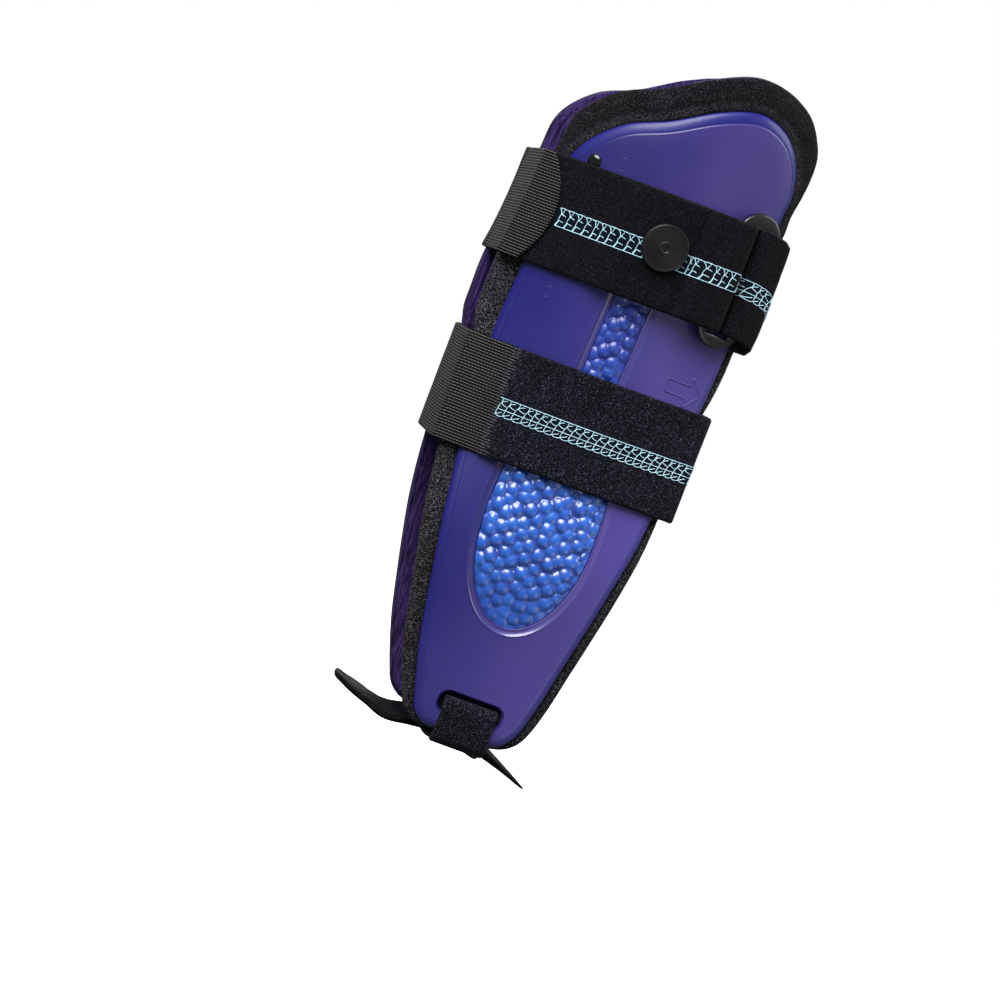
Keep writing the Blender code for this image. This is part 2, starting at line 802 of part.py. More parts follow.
def make_heel_strap(parts):
    """A strap under the heel pad whose ends go up outside the shells, in through the slots and down."""
    bend = SHELL_FOOT + SLOT_RISE + HOOK_RISE
    radius = (SHELL_THICKNESS + 2 * GAP) / 2
    outside = seat(FACE_CENTRE, SHELL_FOOT) + STRAP_SEAT
    under = HEEL_PAD_THICKNESS + GAP
    half = HEEL_HALF_WIDTH
    corner = HEEL_STRAP_THICKNESS

    path = []
    for k in range(6):
        y = half * k / 5
        path.append((y, below_sole(FACE_CENTRE, under) + HEEL_CUP * (y / half) ** 2))
    foot = path[-1][1]
    path.append((blend(half, outside, 0.6), foot))
    for k in range(4):
        angle = math.pi / 2 * k / 3
        path.append((outside - corner * (1 - math.sin(angle)), foot + corner * (1 - math.cos(angle))))
    path.append((on_lift(STRAP_SEAT, SHELL_FOOT), SHELL_FOOT))
    path.append((on_lift(STRAP_SEAT, (SHELL_FOOT + bend) / 2), (SHELL_FOOT + bend) / 2))
    for k in range(7):
        angle = math.pi * k / 6
        lift = GAP + SHELL_THICKNESS / 2 + radius * math.cos(angle)
        z = bend + radius * math.sin(angle)
        path.append((on_lift(lift, z), z))
    path.append((on_lift(0.0, SHELL_FOOT + HEEL_STRAP_THICKNESS), SHELL_FOOT + HEEL_STRAP_THICKNESS))

    whole = [(-y, z) for y, z in path[:0:-1]] + path
    last = len(whole) - 1

    def place(u, v):
        y, z = whole[round(v * last)]
        x = FACE_CENTRE + HEEL_STRAP_WIDTH * (0.5 - u)
        drop = below_sole(x, under) - below_sole(FACE_CENTRE, under) if abs(y) < half + GAP else 0.0
        return Vector((x, y, z + drop))

    return surface("heel_strap", place, 4, last, HEEL_STRAP_THICKNESS, parts)


def on_lift(lift, z):
    """Distance from the mid-plane of a point lift outside the seat, on the centre line."""
    return -on_form(FACE_CENTRE, z, lift)[0].y


def main():
    clear_scene()
    parts = new_collection("stirrup_ankle_brace")
    cutters = new_collection("cutters")
    materials = make_materials()

    sided = (
        (make_shell(parts, cutters), "shell_plastic"),
        (make_stud(parts, cutters), "black_plastic"),
        (make_bead_panel(parts, cutters), "bead_plastic"),
        (make_pad(parts, cutters), "pile_fabric"),
        (make_lining(parts, cutters), "purple_textile"),
    )
    for obj, material in sided:
        finish(obj, materials[material])
        mirrored(obj, obj.name.replace("lateral", "medial"), parts)

    lower, lower_elastic = make_lower_straps(parts)
    upper, front, upper_elastic = make_upper_straps(parts)
    single = (
        (lower, "pile_fabric"),
        (lower_elastic, "woven_elastic"),
        (upper, "pile_fabric"),
        (front, "pile_fabric"),
        (upper_elastic, "woven_elastic"),
        (make_ring(parts), "black_plastic"),
        (make_button(parts), "black_plastic"),
        (make_heel_pad(parts, cutters), "pile_fabric"),
        (make_heel_strap(parts), "pile_fabric"),
    )
    for obj, material in single:
        finish(obj, materials[material])


main()
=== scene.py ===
"""Looks of a stirrup ankle brace: satin indigo shells with beaded windows, black pile pads and straps.

Frame: +X points to the toes, +Z up the shank, and the lateral side, with the ring and button, is at -Y.
Lengths are in metres and follow the solid model's sizes.
"""
import math

import bmesh
import bpy
import numpy as np
from mathutils import Matrix, Vector, noise

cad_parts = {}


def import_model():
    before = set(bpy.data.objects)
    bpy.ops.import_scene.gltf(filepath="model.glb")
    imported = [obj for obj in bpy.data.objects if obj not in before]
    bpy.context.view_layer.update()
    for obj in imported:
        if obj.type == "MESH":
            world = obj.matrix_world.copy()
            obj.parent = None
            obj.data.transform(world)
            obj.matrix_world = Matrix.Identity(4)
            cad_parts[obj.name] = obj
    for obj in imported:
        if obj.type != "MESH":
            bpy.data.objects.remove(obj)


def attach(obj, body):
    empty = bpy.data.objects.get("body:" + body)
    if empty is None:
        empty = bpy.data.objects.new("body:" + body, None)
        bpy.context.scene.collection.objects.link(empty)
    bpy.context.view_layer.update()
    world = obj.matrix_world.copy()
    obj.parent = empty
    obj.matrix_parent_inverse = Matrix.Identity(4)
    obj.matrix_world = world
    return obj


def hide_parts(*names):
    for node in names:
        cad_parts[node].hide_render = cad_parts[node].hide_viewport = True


GAP = 0.0003
MM = 0.001

# The bent side
HALF_SPAN = 0.0435
WRAP = 0.0140
FACE_CENTRE = -0.0050

# Shell
SHELL_FOOT = 0.0023
SHELL_HEIGHT = 0.2435
SHELL_HALF_WIDTH = 0.0410
SHELL_THICKNESS = 0.0026
SLOT_WIDTH = 0.0232
SLOT_HEIGHT = 0.0082
SLOT_RISE = 0.0064
SLOT_CORNER = 0.0038
STUD_DIAMETER = 0.0050
STUD_BACK = 0.0261
STUD_HEIGHT = 0.2099
RIM_WIDTH = 0.0042

# Window and beads
WINDOW_FOOT = 0.0447
WINDOW_HALF_WIDTH = 0.0201
WINDOW_LOWER = 0.0371
WINDOW_UPPER = 0.0565
NECK_HALF_WIDTH = 0.0066
NECK_TOP = 0.1800
NECK_LEAN = 0.045
BEAD_COLUMN = 0.0040
BEAD_ROW = 0.0049
BEAD_RADIUS = 0.0041

# Pad and lining
PAD_THICKNESS = 0.0055
PAD_MARGIN = 0.0120
LINING_THICKNESS = 0.0012
LINING_INSET = 0.0010
BLOW_PRESSURE = 6.0
BLOW_CAP = 0.0011

# Straps
STRAP_WIDTH = 0.0400
STRAP_THICKNESS = 0.0022
ELASTIC_THICKNESS = 0.0015
UPPER_STRAP_HEIGHT = 0.1885
LOWER_STRAP_HEIGHT = 0.1192
FRONT_TURN = 1.00
TAB_REACH = 0.0065
TAB_FRONT = -0.0310
SEAM = -0.0290
LAP = 0.0075
RIB_PITCH = 0.00105
LADDER_PITCH = 0.00325
SCALE_PITCH = 0.00305
STITCH_WIDTH = 0.0064
THREAD_RADIUS = 0.00013

# Ring and button
RING_WIDTH = 0.0176
RING_LENGTH = 0.0502
RING_THICKNESS = 0.0024
RING_PLACE = 0.0320
RING_BAR = 0.0042
RING_LEAN = math.radians(3.5)
BAR_CLEARANCE = 0.0040
BUTTON_DIAMETER = 0.0172
BUTTON_HEIGHT = 0.0018
BUTTON_PLACE = 0.0050
BUTTON_RISE = 0.0020
RETURN_END = -0.0080
STEP_DOWN = 0.0100
FRONT_RETURN = 0.0090
FRONT_STEP = 0.0055

# Heel pad and heel strap
HEEL_LENGTH = 0.0790
HEEL_BACK = -0.0510
HEEL_HALF_WIDTH = 0.0285
HEEL_PAD_THICKNESS = 0.0026
HEEL_RISE = 0.0095
HEEL_CUP = 0.0016
HEEL_STRAP_WIDTH = 0.0200
HEEL_STRAP_THICKNESS = 0.0020
HOOK_RISE = 0.0030

SHELL_FACE = GAP + SHELL_THICKNESS
STRAP_SEAT = SHELL_FACE + GAP
RETURN_FACE = STRAP_SEAT + STRAP_THICKNESS
RING_FLOOR = RETURN_FACE + 3 * GAP
RING_FACE = RING_FLOOR + RING_THICKNESS
RING_SLOT = RING_WIDTH - 2 * RING_BAR
SLOT_MIDDLE = SHELL_FOOT + SLOT_RISE + SLOT_HEIGHT / 2

# each value at the strap's middle, and its lean where it has one
UPPER_LOOP = {
    "middle": UPPER_STRAP_HEIGHT,
    "front": (0.0455, 0.0),
    "back": (-0.0490, 0.075),
    "back_turn": (1.02, -2.4),
}
LOWER_LOOP = {
    "middle": LOWER_STRAP_HEIGHT,
    "front": (0.0385, 0.040),
    "back": (-0.0510, 0.0),
    "back_turn": (1.06, 0.0),
}

# height share of the shell, span share, wrap share
FORM = (
    (-0.10, 0.830, 0.14),
    (0.00, 0.850, 0.15),
    (0.12, 0.910, 0.18),
    (0.28, 1.000, 0.25),
    (0.42, 0.960, 0.45),
    (0.58, 0.970, 0.76),
    (0.74, 1.030, 0.95),
    (0.88, 1.090, 1.02),
    (1.10, 1.160, 1.05),
)

# half-width share and height share of the shell's outline, and the pad's margin share there
OUTLINE = (
    (-0.266, 0.000, 0.08),
    (-0.400, 0.007, 0.20),
    (-0.466, 0.021, 0.32),
    (-0.510, 0.043, 0.38),
    (-0.622, 0.113, 0.46),
    (-0.732, 0.211, 0.53),
    (-0.832, 0.318, 0.60),
    (-0.905, 0.442, 0.60),
    (-0.941, 0.567, 0.52),
    (-0.905, 0.680, 0.62),
    (-0.861, 0.800, 0.50),
    (-0.846, 0.848, 0.50),
    (-0.732, 0.884, 0.88),
    (-0.510, 0.919, 0.98),
    (-0.178, 0.945, 0.96),
    (0.200, 0.982, 0.96),
    (0.532, 1.000, 1.00),
    (0.798, 0.988, 0.98),
    (0.976, 0.956, 0.82),
    (1.063, 0.907, 0.42),
    (1.041, 0.855, 0.27),
    (1.010, 0.668, 0.22),
    (0.976, 0.567, 0.17),
    (0.876, 0.368, 0.27),
    (0.766, 0.267, 0.33),
    (0.632, 0.151, 0.32),
    (0.532, 0.069, 0.32),
    (0.432, 0.021, 0.25),
    (0.232, 0.000, 0.08),
)

# length share and rise share along the heel pad's middle, back to front
SOLE = (
    (0.00, 0.94),
    (0.08, 0.60),
    (0.15, 0.37),
    (0.25, 0.18),
    (0.40, 0.11),
    (0.55, 0.10),
    (0.65, 0.00),
    (0.74, -0.22),
    (0.86, -0.60),
    (1.00, -1.12),
)

# shell's moulded edge: way in from the edge as a share of the rim's width, and lift off the seat in mm
SHELL_RIM = (
    (0.14, 0.30),
    (0.03, 0.50),
    (0.00, 0.95),
    (0.03, 1.35),
    (0.12, 1.75),
    (0.28, 2.12),
    (0.48, 2.40),
    (0.70, 2.60),
    (0.88, 2.68),
    (0.94, 2.66),
    (1.00, 2.84),
    (1.10, 2.90),
)

# window's countersunk frame: way out from the opening's edge and lift off the seat, both in mm
WINDOW_FRAME = (
    (3.20, 2.90),
    (2.85, 2.93),
    (2.65, 3.04),
    (2.45, 3.02),
    (2.25, 2.80),
    (1.50, 2.42),
    (0.80, 2.16),
    (0.62, 2.18),
    (0.42, 2.30),
    (0.20, 2.28),
    (0.04, 2.10),
    (0.00, 1.70),
    (0.00, 0.90),
    (0.00, 0.30),
)


# Numbers and curves

def read_table(table, column, at):
    """A smooth reading of one column at places in the first column."""
    keys = np.array([row[0] for row in table])
    values = np.array([row[column] for row in table])
    slopes = np.gradient(values, keys)
    slopes[1:-1] = (values[2:] - values[:-2]) / (keys[2:] - keys[:-2])
    at = np.clip(at, keys[0], keys[-1])
    i = np.clip(np.searchsorted(keys, at, side="right") - 1, 0, len(keys) - 2)
    width = keys[i + 1] - keys[i]
    t = (at - keys[i]) / width
    return (
        (2 * t**3 - 3 * t**2 + 1) * values[i]
        + (t**3 - 2 * t**2 + t) * width * slopes[i]
        + (3 * t**2 - 2 * t**3) * values[i + 1]
        + (t**3 - t**2) * width * slopes[i + 1]
    )


def smooth_loop(points, steps):
    """A closed curve through the points, with so many steps to each span."""
    b = np.asarray(points)[:, None]
    a, c, d = (np.roll(b, -k, axis=0) for k in (-1, 1, 2))
    t = (np.arange(steps) / steps)[:, None]
    loop = 0.5 * (
        2 * b + (c - a) * t + (2 * a - 5 * b + 4 * c - d) * t**2 + (3 * b - a - 3 * c + d) * t**3
    )
    return loop.reshape(-1, 2)


def outward(loop):
    """The unit normals of a closed clockwise loop."""
    along = np.roll(loop, -1, axis=0) - np.roll(loop, 1, axis=0)
    along /= np.linalg.norm(along, axis=1, keepdims=True)
    return np.stack([-along[:, 1], along[:, 0]], axis=1)


def evenly(loop, count):
    """A closed loop read again at so many even steps."""
    closed = np.vstack([loop, loop[:1]])
    way = np.concatenate([[0.0], np.cumsum(np.linalg.norm(np.diff(closed, axis=0), axis=1))])
    at = np.arange(count) / count * way[-1]
    return np.stack([np.interp(at, way, closed[:, k]) for k in range(loop.shape[1])], axis=1)


def blend(a, b, t):
    return a + (b - a) * t


def ease(t):
    t = np.clip(t, 0.0, 1.0)
    return t * t * (3 - 2 * t)


def unit(vectors):
    return vectors / np.maximum(np.linalg.norm(vectors, axis=-1, keepdims=True), 1e-12)


def ripple(points, size, height, seed=0.0):
    """Smooth unevenness at each point, of about that size and height."""
    flat = points.reshape(-1, 3)
    values = [noise.noise(Vector(p) / size + Vector((seed, seed, seed))) for p in flat]
    return np.array(values).reshape(points.shape[:-1]) * height


def share(x):
    """A distance from the centre line as a share of the shell's half width."""
    return x / SHELL_HALF_WIDTH


# The bent side

def seat(x, z):
    """Distance of the shell's seat from the mid-plane."""
    at = (z - SHELL_FOOT) / SHELL_HEIGHT
    away = (x - FACE_CENTRE) / SHELL_HALF_WIDTH
    return HALF_SPAN * read_table(FORM, 1, at) - WRAP * read_table(FORM, 2, at) * away**2


def on_form(x, z, lift):
    """The points of the lateral side that lie lift outside the seat, and their outward normals."""
    x, z, lift = np.broadcast_arrays(x, z, lift)
    step = 0.0005
    slope_x = (seat(x + step, z) - seat(x - step, z)) / (2 * step)
    slope_z = (seat(x, z + step) - seat(x, z - step)) / (2 * step)
    normals = unit(np.stack([-slope_x, -np.ones_like(slope_x), -slope_z], axis=-1))
    return np.stack([x, -seat(x, z), z], axis=-1) + normals * lift[..., None], normals


def loop_place(away, z, lift, loop):
    """Points of a strap's inner face on the lateral half, for places along its run."""
    away, z, lift = np.broadcast_arrays(away, z, lift)
    front, back, back_turn = (
        loop[key][0] + loop[key][1] * (z - loop["middle"]) for key in ("front", "back", "back_turn")
    )
    edge = np.minimum(np.maximum(away, -back_turn), FRONT_TURN)
    start, normal = on_form(FACE_CENTRE + SHELL_HALF_WIDTH * edge, z, lift)
    t = ((np.abs(away) - np.abs(edge)) / (2 - np.abs(edge)))[..., None]
    way = np.where(away > 0, 1.0, -1.0)[..., None]
    along = np.stack([-normal[..., 1], normal[..., 0]], axis=-1) * way
    near = start[..., :2]
    far = np.stack([np.where(away > 0, front, back), np.zeros_like(z)], axis=-1)
    reach = np.abs(far[..., 0] - near[..., 0]) / np.maximum(np.abs(along[..., 0]), 0.2)
    bend = near + along * reach[..., None] * 0.9
    hold = np.stack([far[..., 0], near[..., 1] * 0.8], axis=-1)
    plan = near * (1 - t) ** 3 + 3 * bend * t * (1 - t) ** 2 + 3 * hold * t * t * (1 - t) + far * t**3
    return np.concatenate([plan, z[..., None]], axis=-1)


def run_place(run, z, lift, loop):
    """A whole loop's place: -2 to 2 is the lateral half, and past 2 the medial half runs back to 6."""
    run, z, lift = np.broadcast_arrays(run, z, lift)
    medial = run > 2
    points = loop_place(np.where(medial, 4 - run, run), z, lift, loop)
    points[..., 1] = np.where(medial, -points[..., 1], points[..., 1])
    return points


def sole(x):
    """Height of the heel pad's upper face along its middle."""
    return HEEL_RISE * read_table(SOLE, 1, (x - HEEL_BACK) / HEEL_LENGTH)


def below_sole(x, depth):
    """Height of the face that lies so deep under the heel pad's upper face, square to it."""
    step = 0.001
    slope = (sole(x + step) - sole(x - step)) / (2 * step)
    return sole(x) - depth * np.sqrt(1 + slope**2)


# Outlines

def shell_loop():
    rows = [(FACE_CENTRE + SHELL_HALF_WIDTH * x, SHELL_FOOT + SHELL_HEIGHT * z) for x, z, _ in OUTLINE]
    return smooth_loop(rows, 12)


def pad_loop(inset):
    rows = np.array(
        [(FACE_CENTRE + SHELL_HALF_WIDTH * x, SHELL_FOOT + SHELL_HEIGHT * z) for x, z, _ in OUTLINE]
    )
    margins = np.array([PAD_MARGIN * row[2] - inset for row in OUTLINE])
    return smooth_loop(rows + outward(rows) * margins[:, None], 12)


def window_half_width(z, inset):
    """Half width of the oval with its neck, and the x of its middle."""
    widest = WINDOW_FOOT + WINDOW_LOWER
    reach = np.where(z < widest, WINDOW_LOWER, WINDOW_UPPER)
    oval = WINDOW_HALF_WIDTH * np.sqrt(np.maximum(0, 1 - ((z - widest) / reach) ** 2)) - inset
    neck = NECK_HALF_WIDTH - inset
    top = NECK_TOP - inset
    end = np.sqrt(np.maximum(0, neck**2 - np.maximum(0, z - (top - neck)) ** 2))
    oval = np.maximum(oval, 0)
    half = np.where(z < widest, oval, (oval**6 + end**6) ** (1 / 6))
    middle = FACE_CENTRE + NECK_LEAN * np.maximum(0, z - widest - WINDOW_UPPER / 2)
    return half, middle


def window_facing(loop):
    """The point of the window's edge that faces each point of the shell's outline."""
    widest = WINDOW_FOOT + WINDOW_LOWER
    neck_end = NECK_TOP - NECK_HALF_WIDTH
    x, z = loop[:, 0], loop[:, 1]
    half, middle = window_half_width(np.clip(z, widest, neck_end), 0.0)
    side = np.where(x > middle, 1.0, -1.0)
    facing = np.stack([middle + side * half, np.clip(z, widest, neck_end)], axis=1)
    way = np.stack([x - middle, z - facing[:, 1]], axis=1)
    low, high = z < widest, z > neck_end
    oval = np.array([WINDOW_HALF_WIDTH, WINDOW_LOWER])
    reach = 1 / np.linalg.norm(way / oval, axis=1, keepdims=True)
    centre = np.stack([middle, facing[:, 1]], axis=1)
    facing[low] = (centre + way * reach)[low]
    facing[high] = (centre + unit(way) * NECK_HALF_WIDTH)[high]
    return facing


def rounded_box(width, height, corner, steps, x=0.0, z=0.0):
    """A clockwise rectangle with round corners."""
    loop = []
    for turn, (side_x, side_z) in enumerate(((1, 1), (-1, 1), (-1, -1), (1, -1))):
        for step in range(steps + 1):
            angle = math.pi / 2 * (turn + step / steps)
            loop.append(
                (
                    x + side_x * (width / 2 - corner) + corner * math.cos(angle),
                    z + side_z * (height / 2 - corner) + corner * math.sin(angle),
                )
            )
    return np.array(loop[::-1])


def matched_places(loop):
    """Places along a closed clockwise loop whose back and front halves share their heights."""
    count = len(loop)
    low, high = int(np.argmin(loop[:, 1])), int(np.argmax(loop[:, 1]))
    up = np.arange(low, low + (high - low) % count + 1)
    down = np.arange(high, high + (low - high) % count + 1)[::-1]
    halves = []
    for half in (up, down):
        rise = np.maximum.accumulate(loop[half % count, 1]) + np.arange(len(half)) * 1e-9
        halves.append((rise, half))
    heights = np.union1d(halves[0][0][1:-1], halves[1][0][1:-1])
    kept = [heights[0]]
    for height in heights[1:]:
        if height - kept[-1] > 2e-7:
            kept.append(height)
    kept = np.array(kept)
    back = np.interp(kept, *halves[0])
    front = np.interp(kept, *halves[1])
    return np.concatenate([[low], back, [high], front[::-1]])


def at_places(loop, places):
    count = len(loop)
    first = np.floor(places).astype(int)
    t = (places - first)[:, None]
    return loop[first % count] * (1 - t) + loop[(first + 1) % count] * t


# Meshes

PIECES = bpy.data.collections.new("brace_pieces")


def new_object(name, mesh):
    obj = bpy.data.objects.new(name, mesh)
    PIECES.objects.link(obj)
    return obj


def mesh_from(name, points, faces, attributes=None, merge=0.0):
    """A smooth closed mesh; attributes are named lists of one number a point."""
    mesh = bpy.data.meshes.new(name)
    mesh.from_pydata(points.reshape(-1, 3).tolist(), [], faces)
    for key, values in (attributes or {}).items():
        layer = mesh.attributes.new(key, "FLOAT", "POINT")
        layer.data.foreach_set("value", np.asarray(values, dtype=np.float32).ravel())
    form = bmesh.new()
    form.from_mesh(mesh)
    if merge:
        bmesh.ops.remove_doubles(form, verts=form.verts, dist=merge)
        bmesh.ops.dissolve_degenerate(form, edges=form.edges, dist=1e-7)
    bmesh.ops.recalc_face_normals(form, faces=form.faces)
    form.to_mesh(mesh)
    form.free()
    mesh.shade_smooth()
    return mesh


def grid_faces(rows, columns, round_rows=False, round_columns=False):
    """Quads of a grid of points, joined round where asked."""
    faces = []
    for i in range(rows if round_rows else rows - 1):
        for k in range(columns if round_columns else columns - 1):
            a, b = i * columns, (i + 1) % rows * columns
            j = (k + 1) % columns
            faces.append((a + k, a + j, b + j, b + k))
    return faces


def capped(rows, columns):
    """Quads of a tube of rings with a flat cap at each end."""
    faces = grid_faces(rows, columns, round_columns=True)
    faces.append(tuple(range(columns))[::-1])
    faces.append(tuple((rows - 1) * columns + k for k in range(columns)))
    return faces


def cut(obj, cutter):
    """Takes the cutter's shape out of the piece and removes the cutter."""
    change = obj.modifiers.new("Cut", "BOOLEAN")
    change.operation = "DIFFERENCE"
    change.solver = "EXACT"
    change.object = cutter
    settle(obj)
    bpy.data.objects.remove(cutter, do_unlink=True)


def settle(obj):
    """The piece's modifiers applied to its mesh."""
    bpy.context.view_layer.update()
    evaluated = obj.evaluated_get(bpy.context.evaluated_depsgraph_get())
    mesh = bpy.data.meshes.new_from_object(evaluated)
    obj.modifiers.clear()
    old = obj.data
    obj.data = mesh
    bpy.data.meshes.remove(old)
    mesh.name = obj.name


def join(obj, others):
    """Other objects' meshes added to the piece's own mesh."""
    form = bmesh.new()
    form.from_mesh(obj.data)
    for other in others:
        form.from_mesh(other.data)
        bpy.data.objects.remove(other, do_unlink=True)
    form.to_mesh(obj.data)
    form.free()


def crisp(obj, degrees):
    obj.data.shade_smooth()
    obj.data.set_sharp_from_angle(angle=math.radians(degrees))


def mirrored(obj, name):
    """The medial copy of a lateral piece."""
    mesh = obj.data.copy()
    mesh.transform(Matrix.Scale(-1, 4, (0, 1, 0)))
    mesh.flip_normals()
    return new_object(name, mesh)


def raised_line(name, places, lift, radius, closed):
    """A fine moulded line on the shell's face, through places seen from the side."""
    points, _ = on_form(places[:, 0], places[:, 1], lift)
    curve = bpy.data.curves.new(name, "CURVE")
    curve.dimensions = "3D"
    curve.bevel_depth = radius
    curve.bevel_resolution = 2
    curve.use_fill_caps = True
    spline = curve.splines.new("POLY")
    spline.points.add(len(points) - 1)
    for point, place in zip(spline.points, points):
        point.co = (*place, 1.0)
    spline.use_cyclic_u = closed
    line = new_object(name, curve)
    bpy.context.view_layer.update()
    mesh = bpy.data.meshes.new_from_object(line.evaluated_get(bpy.context.evaluated_depsgraph_get()))
    bpy.data.objects.remove(line, do_unlink=True)
    return new_object(name, mesh)


# Shell

def make_shell():
    """The moulded shell: round blue rim, flat face, and a countersunk frame round the window."""
    outer = evenly(shell_loop(), 420)
    out = outward(outer)
    window = window_facing(outer)
    window_out = outward(window)
    for _ in range(3):
        window_out = unit(np.roll(window_out, 1, axis=0) + window_out + np.roll(window_out, -1, axis=0))
    rim = RIM_WIDTH * (0.64 + 0.36 * np.maximum(out[:, 1], 0) - 0.12 * out[:, 0])

    rings, lifts, rims = [], [], []
    for way, lift in SHELL_RIM:
        rings.append(outer - out * (rim * way)[:, None])
        lifts.append(lift * MM)
        rims.append(1.0 if way < 0.9 else 0.0)
    edge = rings[-1]
    frame_edge = window + window_out * (WINDOW_FRAME[0][0] * MM)
    for step in range(1, 10):
        rings.append(blend(edge, frame_edge, step / 10))
        lifts.append(SHELL_FACE)
        rims.append(0.0)
    for way, lift in WINDOW_FRAME:
        rings.append(window + window_out * (way * MM))
        lifts.append(lift * MM)
        rims.append(0.25 if 0.3 < way < 2.5 else 0.0)
    inner_edge = rings[0]
    for step in range(1, 8):
        rings.append(blend(window, inner_edge, step / 8))
        lifts.append(GAP)
        rims.append(0.0)

    points = np.stack([on_form(ring[:, 0], ring[:, 1], lift)[0] for ring, lift in zip(rings, lifts)])
    faces = grid_faces(len(rings), len(outer), round_rows=True, round_columns=True)
    rim_values = np.repeat(rims, len(outer))
    shell = new_object("lateral_shell_look", mesh_from("shell", points, faces, {"rim": rim_values}))

    slot_levels = ((SHELL_FACE + 0.6 * MM, 1.0), (SHELL_FACE, 0.75), (2.3 * MM, 0.2), (1.6 * MM, 0.0), (-1.0 * MM, 0.0))
    cutter_rings = []
    for lift, spread in slot_levels:
        loop = rounded_box(
            SLOT_WIDTH + 2 * spread * MM, SLOT_HEIGHT + 2 * spread * MM,
            SLOT_CORNER + spread * MM * 0.5, 8, FACE_CENTRE, SLOT_MIDDLE,
        )
        cutter_rings.append(on_form(loop[:, 0], loop[:, 1], lift)[0])
    cutter_rings = np.stack(cutter_rings)
    cutter = new_object(
        "slot_cutter", mesh_from("slot_cutter", cutter_rings, capped(*cutter_rings.shape[:2]))
    )
    cut(shell, cutter)
    crisp(shell, 38)

    marks = [raised_line("arrow", arrow_outline(), SHELL_FACE, 0.24 * MM, True)]
    for name, x, z, radius in (("upper_mark", -21.8, 212.3, 2.3), ("side_mark", -30.0, 161.4, 2.0)):
        angles = np.linspace(0, math.tau, 40, endpoint=False)
        ring = np.stack([x + radius * np.cos(angles), z + radius * np.sin(angles)], axis=1) * MM
        marks.append(raised_line(name, ring, SHELL_FACE - 0.06 * MM, 0.13 * MM, True))
    join(shell, marks)
    return shell


def arrow_outline():
    """A plain outline arrow that points to the front."""
    corners = np.array(
        [
            (18.7, 147.7), (27.2, 147.3), (27.4, 150.9), (31.9, 144.8),
            (27.0, 139.5), (27.1, 142.6), (18.9, 142.9),
        ]
    ) * MM
    closed = np.vstack([corners, corners[:1]])
    points = []
    for a, b in zip(closed, closed[1:]):
        points += [blend(a, b, t) for t in (0.04, 0.28, 0.52, 0.76, 0.96)]
    return np.array(points)


def make_stud():
    """A small glossy domed head over the shell's hole."""
    profile = [(1.02, -0.25), (1.05, 0.15), (1.0, 0.35), (0.86, 0.62), (0.62, 0.85), (0.33, 0.97), (0.0, 1.0)]
    return turned_head(
        "lateral_stud_look", profile, STUD_DIAMETER / 2, 0.9 * MM,
        (FACE_CENTRE - STUD_BACK, STUD_HEIGHT, SHELL_FACE - 0.1 * MM), 40,
    )


def turned_head(name, profile, radius, height, place, count):
    """A round head turned from a profile of radius shares and height shares, seated on the form."""
    x, z, lift = place
    angles = np.linspace(0, math.tau, count, endpoint=False)
    rings = np.array(
        [
            [(r * radius * math.cos(a), r * radius * math.sin(a), h * height) for a in angles]
            for r, h in profile
        ]
    )
    flat = np.concatenate([rings[:1] * (0, 0, 1), rings])
    matrix = np.array(seat_matrix(x, z, lift, 0.0))
    points = flat @ matrix[:3, :3].T + matrix[:3, 3]
    faces = grid_faces(len(flat), count, round_columns=True)
    return new_object(name, mesh_from(name, points, faces, merge=1e-6))


def seat_matrix(x, z, lift, turn):
    """A frame on the lateral side: local X forward, local Y up, local Z outward."""
    origin, normal = on_form(x, z, lift)
    normal = Vector(normal)
    forward = Vector((1, 0, 0)) - normal * normal.x
    forward.normalize()
    up = normal.cross(forward)
    frame = Matrix((forward, up, normal)).transposed().to_4x4()
    return Matrix.Translation(Vector(origin)) @ frame @ Matrix.Rotation(turn, 4, "Z")


# Beads

def bead_centres():
    """Bead centres in staggered columns, each moved a little and given its own size."""
    chance = np.random.default_rng(11)
    centres = []
    for k, x in enumerate(np.arange(-0.030, 0.022, BEAD_COLUMN)):
        for z in np.arange(WINDOW_FOOT - 0.004, NECK_TOP + 0.004, BEAD_ROW):
            centres.append((x, z + (k % 2) * BEAD_ROW / 2))
    centres = np.array(centres)
    centres += chance.uniform(-1, 1, centres.shape) * np.array([0.00085, 0.00095])
    sizes = chance.uniform(0.80, 1.12, len(centres))
    tones = chance.uniform(0.0, 1.0, len(centres))
    return centres, sizes, tones


